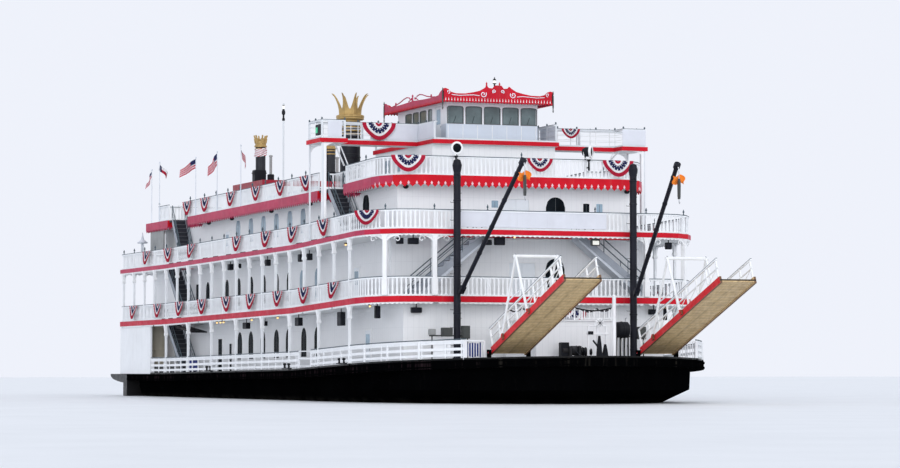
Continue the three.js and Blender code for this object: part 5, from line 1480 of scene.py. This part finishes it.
# Paddle wheel: bucket bolts, hub bolts and cross braces between the frames
wheel = Kit("paddle_wheel_fittings", "stern_wheel", "wheel_white")
FRAMES = (-8.2, -2.733, 2.733, 8.2)
BUCKETS = 14
for a in (2 * PI * k / BUCKETS for k in range(BUCKETS)):
    c, s = math.cos(a), math.sin(a)
    wheel.put(WHEEL_X, 0, WHEEL_Z, along=(c, 0, -s), out=(0, 1, 0), up=(s, 0, c)).use(rust_steel)
    for y in FRAMES:
        for x, z in ((x, z) for x in (-0.0575, 0.0575) for z in (1.9, 2.15)):
            wheel.box(x - 0.0175, x + 0.0175, y - 0.09, y + 0.09, z - 0.03, z + 0.03)
        for d in (-0.13, 0.13):
            wheel.box(-0.03, 0.03, y + d - 0.015, y + d + 0.015, 0.34, 0.4)
    wheel.use(steel)
    for y in FRAMES[:3]:
        wheel.tube([(0, y + 0.05, 1.2), (0, y + 2.73, 0.9), (0, y + 5.4, 1.2)], 0.02, 5)
wheel.done()


# Cloth
def hang(name, rows, pick, body="ship", looks=CLOTHS):
    """Sheet of cloth through rows of points, each square's look picked for it. Returns it and its area."""
    n = len(rows[0])
    starts = [i * n + j for i in range(len(rows) - 1) for j in range(n - 1)]
    mesh = bpy.data.meshes.new(name)
    mesh.from_pydata([p * SCALE for row in rows for p in row], [],
                     [(a, a + 1, a + n + 1, a + n) for a in starts])
    for look in looks:
        mesh.materials.append(look)
    mesh.polygons.foreach_set("material_index", [pick(*divmod(k, n - 1)) for k in range(len(mesh.polygons))])
    mesh.shade_smooth()
    made = bpy.data.objects.new(name, mesh)
    bpy.context.scene.collection.objects.link(made)
    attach(made, body)
    return made, sum(face.area for face in mesh.polygons)


# Bunting: pleated half fans in rings of red (0), white (1) and blue (2), the blue ones with white patches
RINGS = (0.06, 0.2, 0.32, 0.42, 0.52, 0.62, 0.76, 0.88, 1.0)
RING_LOOKS = (0, 1, 2, 2, 2, 1, 0, 0)
PLEATS = 48


def fan(index, x, y, z, heading, radius, lean, billow):
    """Fan hung by its straight edge from a rail, its foot blown aft. heading is the way along the rail."""
    along = Vector((math.cos(heading), math.sin(heading), 0))
    out = Vector((math.sin(heading), -math.cos(heading), 0))
    rows = []
    for share in RINGS:
        row = []
        for k in range(PLEATS + 1):
            a = PI + PI * k / PLEATS
            r = radius * share * (1 - 0.08 * math.sin(2 * a) ** 2)
            sag = math.sin(PI * k / PLEATS)
            fold = 0.045 * share * (1 if k % 2 else -1) * (0.5 + 0.5 * sag)
            depth = -r * math.sin(a) * (1 - 0.25 * billow)
            blown = share * (0.05 + billow * radius * sag * (0.75 + 0.4 * math.cos(a + 0.4)))
            row.append(Vector((x - lean * depth, y, z - depth)) + along * r * math.cos(a)
                       + out * (0.075 + fold + blown))
        rows.append(row)

    def pick(ring, k):
        return 1 if ring in (2, 4) and (k + 2 * ring) % 6 == 0 else RING_LOOKS[ring]

    made, area = hang(f"bunting_{index:02d}", rows, pick)


# Height of the fans' straight edge over the deck
FAN_TOP = 1.09
# Fans of the sides: deck, distance from the middle, places along the rail
SIDE_FANS = (("fourth", 8.3, (-21.3, -16.9, -10.8, -5.3, -0.2, 4.8)),
             ("third", 10.22, (-24.7, -19.3, -13.4, -3.1, 3.0, 8.3, 13.9)),
             ("second", 10.22, (-28.2, -21.8, -16.3, -11.0, -5.5, -0.1, 5.4, 10.4, 15.9)))
# Fans of the front: height, x, y, heading, radius
ON_FOURTH = top("fourth", TEXAS[1] + 1) + FAN_TOP
FRONT_FANS = (
    (ON_FOURTH, 19.25, -7.0, 1.3, 0.98),
    (ON_FOURTH, 19.25, 1.06, PI / 2, 0.8),
    (ON_FOURTH, 19.25, 6.0, PI / 2, 0.98),
    (top("third", 20.8) + FAN_TOP, 20.75, -9.95, 0.6, 0.85),
    (16.4, 12.52, -6.4, PI / 2, 1.05),
    (16.4, 12.52, 5.9, PI / 2, 0.6),
    (5.2, 22.3, 1.5, PI / 2, 1.15),
)
gusts = random.Random(7)
fans = []
for deck, y, places in SIDE_FANS:
    for x in places:
        lean, billow = gusts.uniform(-0.55, 0.05), gusts.uniform(0.05, 0.26)
        z = top(deck, x) + FAN_TOP
        fans += [(x, side * y, z, 0.0 if side < 0 else PI, 1.0, lean, billow) for _, side in SIDES]
fans += [(x, y, z, heading, radius, 0.0, 0.08) for z, x, y, heading, radius in FRONT_FANS]
for index, row in enumerate(fans):
    fan(index, *row)

# Flags that stream from their poles: x, height of the pole, fly (x, y, z), hoist, way the hoist swings
FLAGS = {
    "a": (-30.7, 16.3, (-1.0, -0.1, -0.72), 0.5, 0.0),
    "b": (-28.6, 16.7, (-0.8, 0.85, -0.5), 0.45, -0.05),
    "c": (-19.35, 16.45, (-1.2, -0.74, -0.55), 0.7, 0.0),
    "d": (-14.2, 16.5, (-1.0, -0.32, -0.7), 0.85, 0.05),
    "e": (-8.8, 16.55, (-0.6, 0.5, -0.7), 0.75, 0.1),
}
FLAG_LINE = -8.33
# Squares of a flag along its fly and down its hoist, and how many of them its blue corner takes
FLY_SQUARES, HOIST_SQUARES = 28, 13
CORNER_FLY, CORNER_HOIST = 9, 6


def striped(i, j):
    return 2 if i < CORNER_FLY and j < CORNER_HOIST else (0 if j % 3 else 1)


def barred(i, j):
    return 2 if i < CORNER_FLY else (1 if j < CORNER_HOIST else 0)


for name, (x, high, fly, hoist, swing) in FLAGS.items():
    low = under("fourth", x) + 0.1
    pole = Kit("flagpole_" + name, slot="rail_white").use(string_white).put(x, FLAG_LINE, 0)
    pole.turned([(0.07, low), (0.07, low + 0.15), (0.035, low + 0.2), (0.022, high - 0.1),
                 (0.055, high - 0.06), (0.055, high), (0.01, high + 0.05)], 8).done()
    wave = Vector((-fly[1], fly[0], 0)).normalized() * 0.11
    rows = []
    for t in (i / FLY_SQUARES for i in range(FLY_SQUARES + 1)):
        edge = Vector((x - 0.03, FLAG_LINE, high - 0.12)) + Vector(fly) * t + Vector((0, 0, -0.12 * t * t))
        rows.append([edge + Vector((0, swing, -hoist)) * (j / HOIST_SQUARES) * (1 - 0.12 * t)
                     + wave * math.sin(6.5 * t + 0.09 * j) * t ** 0.6 for j in range(HOIST_SQUARES + 1)])
    made, area = hang("flag_" + name, rows, barred if name == "b" else striped)
    tall = hoist * SCALE

# Striped cloth wound round the starboard aft stack
rows = []
for a in (-2.9 + i * 0.135 for i in range(33)):
    rows.append([Vector((AFT_STACK[0] + r * math.cos(a), -AFT_STACK[1] + r * math.sin(a),
                         17.42 - 0.05 * j + 0.05 * math.sin(1.5 * a)))
                 for j, r in ((j, 0.42 + 0.03 * math.sin(5 * a + 0.4 * j)) for j in range(12))])
made, area = hang("stack_cloth", rows, lambda i, j: 0 if (i // 3 + j) % 3 == 0 else 1)

# Small orange signal flags at the boom tips
for name, side in SIDES:
    tip = Vector((BOOM_TIP[0], side * BOOM_TIP[1], BOOM_TIP[2]))
    rows = [[tip + Vector((0.02 - 0.1 * math.sin(5 * t), 0.4 - 0.75 * t + 0.06 * math.sin(6 * s),
                           -0.6 - 0.45 * s - 0.2 * abs(t - 0.4) + 0.06 * math.sin(7 * t)))
             for s in (j / 6 for j in range(7))] for t in (i / 10 for i in range(11))]
    made, area = hang("signal_flag_" + name, rows, lambda i, j: 0, "boom_arm_" + name, (flag_orange,))

# Floor at the waterline, light and camera, in metres of the model
scene = bpy.context.scene
look = Graph("pale_floor")
tone = look.mix(look.spread(look.noise(0.4, 3), 0.3, 0.7), (0.74, 0.77, 0.80), (0.78, 0.81, 0.84))
look.finish(tone, 0.55, 0.05, None, 0.001)
FLOOR_REACH = 300
mesh = bpy.data.meshes.new("floor")
corners = [(x * FLOOR_REACH, y * FLOOR_REACH, 0) for x, y in ((-1, -1), (1, -1), (1, 1), (-1, 1))]
mesh.from_pydata(corners, [], [(0, 1, 2, 3)])
mesh.materials.append(look.material)
floor = bpy.data.objects.new("floor", mesh)
scene.collection.objects.link(floor)

world = bpy.data.worlds.new("sky")
scene.world = world
world.use_nodes = True
sky = world.node_tree.nodes["Background"].inputs
sky["Color"].default_value = (0.82, 0.846, 0.92, 1)
sky["Strength"].default_value = 1.05
# Suns: name, strength, spread, colour, direction of the light
for name, energy, angle, colour, way in (("sun", 0.45, 0.35, (1.0, 0.98, 0.95), (-0.8, -0.25, -0.55)),
                                         ("fill", 2.15, 1.2, (0.98, 0.98, 1.0), (-0.8, 0.45, 0.1))):
    sun = bpy.data.objects.new(name, bpy.data.lights.new(name, "SUN"))
    sun.data.energy, sun.data.angle, sun.data.color = energy, angle, colour
    sun.rotation_euler = Vector(way).to_track_quat("-Z", "Y").to_euler()
    scene.collection.objects.link(sun)
scene.view_settings.view_transform = "Standard"

cam = bpy.data.objects.new("camera", bpy.data.cameras.new("camera"))
cam.data.lens = 120
cam.data.sensor_width = 36
cam.data.clip_end = 1000
cam.location = (89.392, -32.847, 0.908)
pitch, bearing = math.radians(2.605), math.radians(21)
view = Vector((-math.cos(bearing) * math.cos(pitch), math.sin(bearing) * math.cos(pitch), math.sin(pitch)))
cam.rotation_euler = view.to_track_quat("-Z", "Y").to_euler()
scene.collection.objects.link(cam)
scene.camera = cam
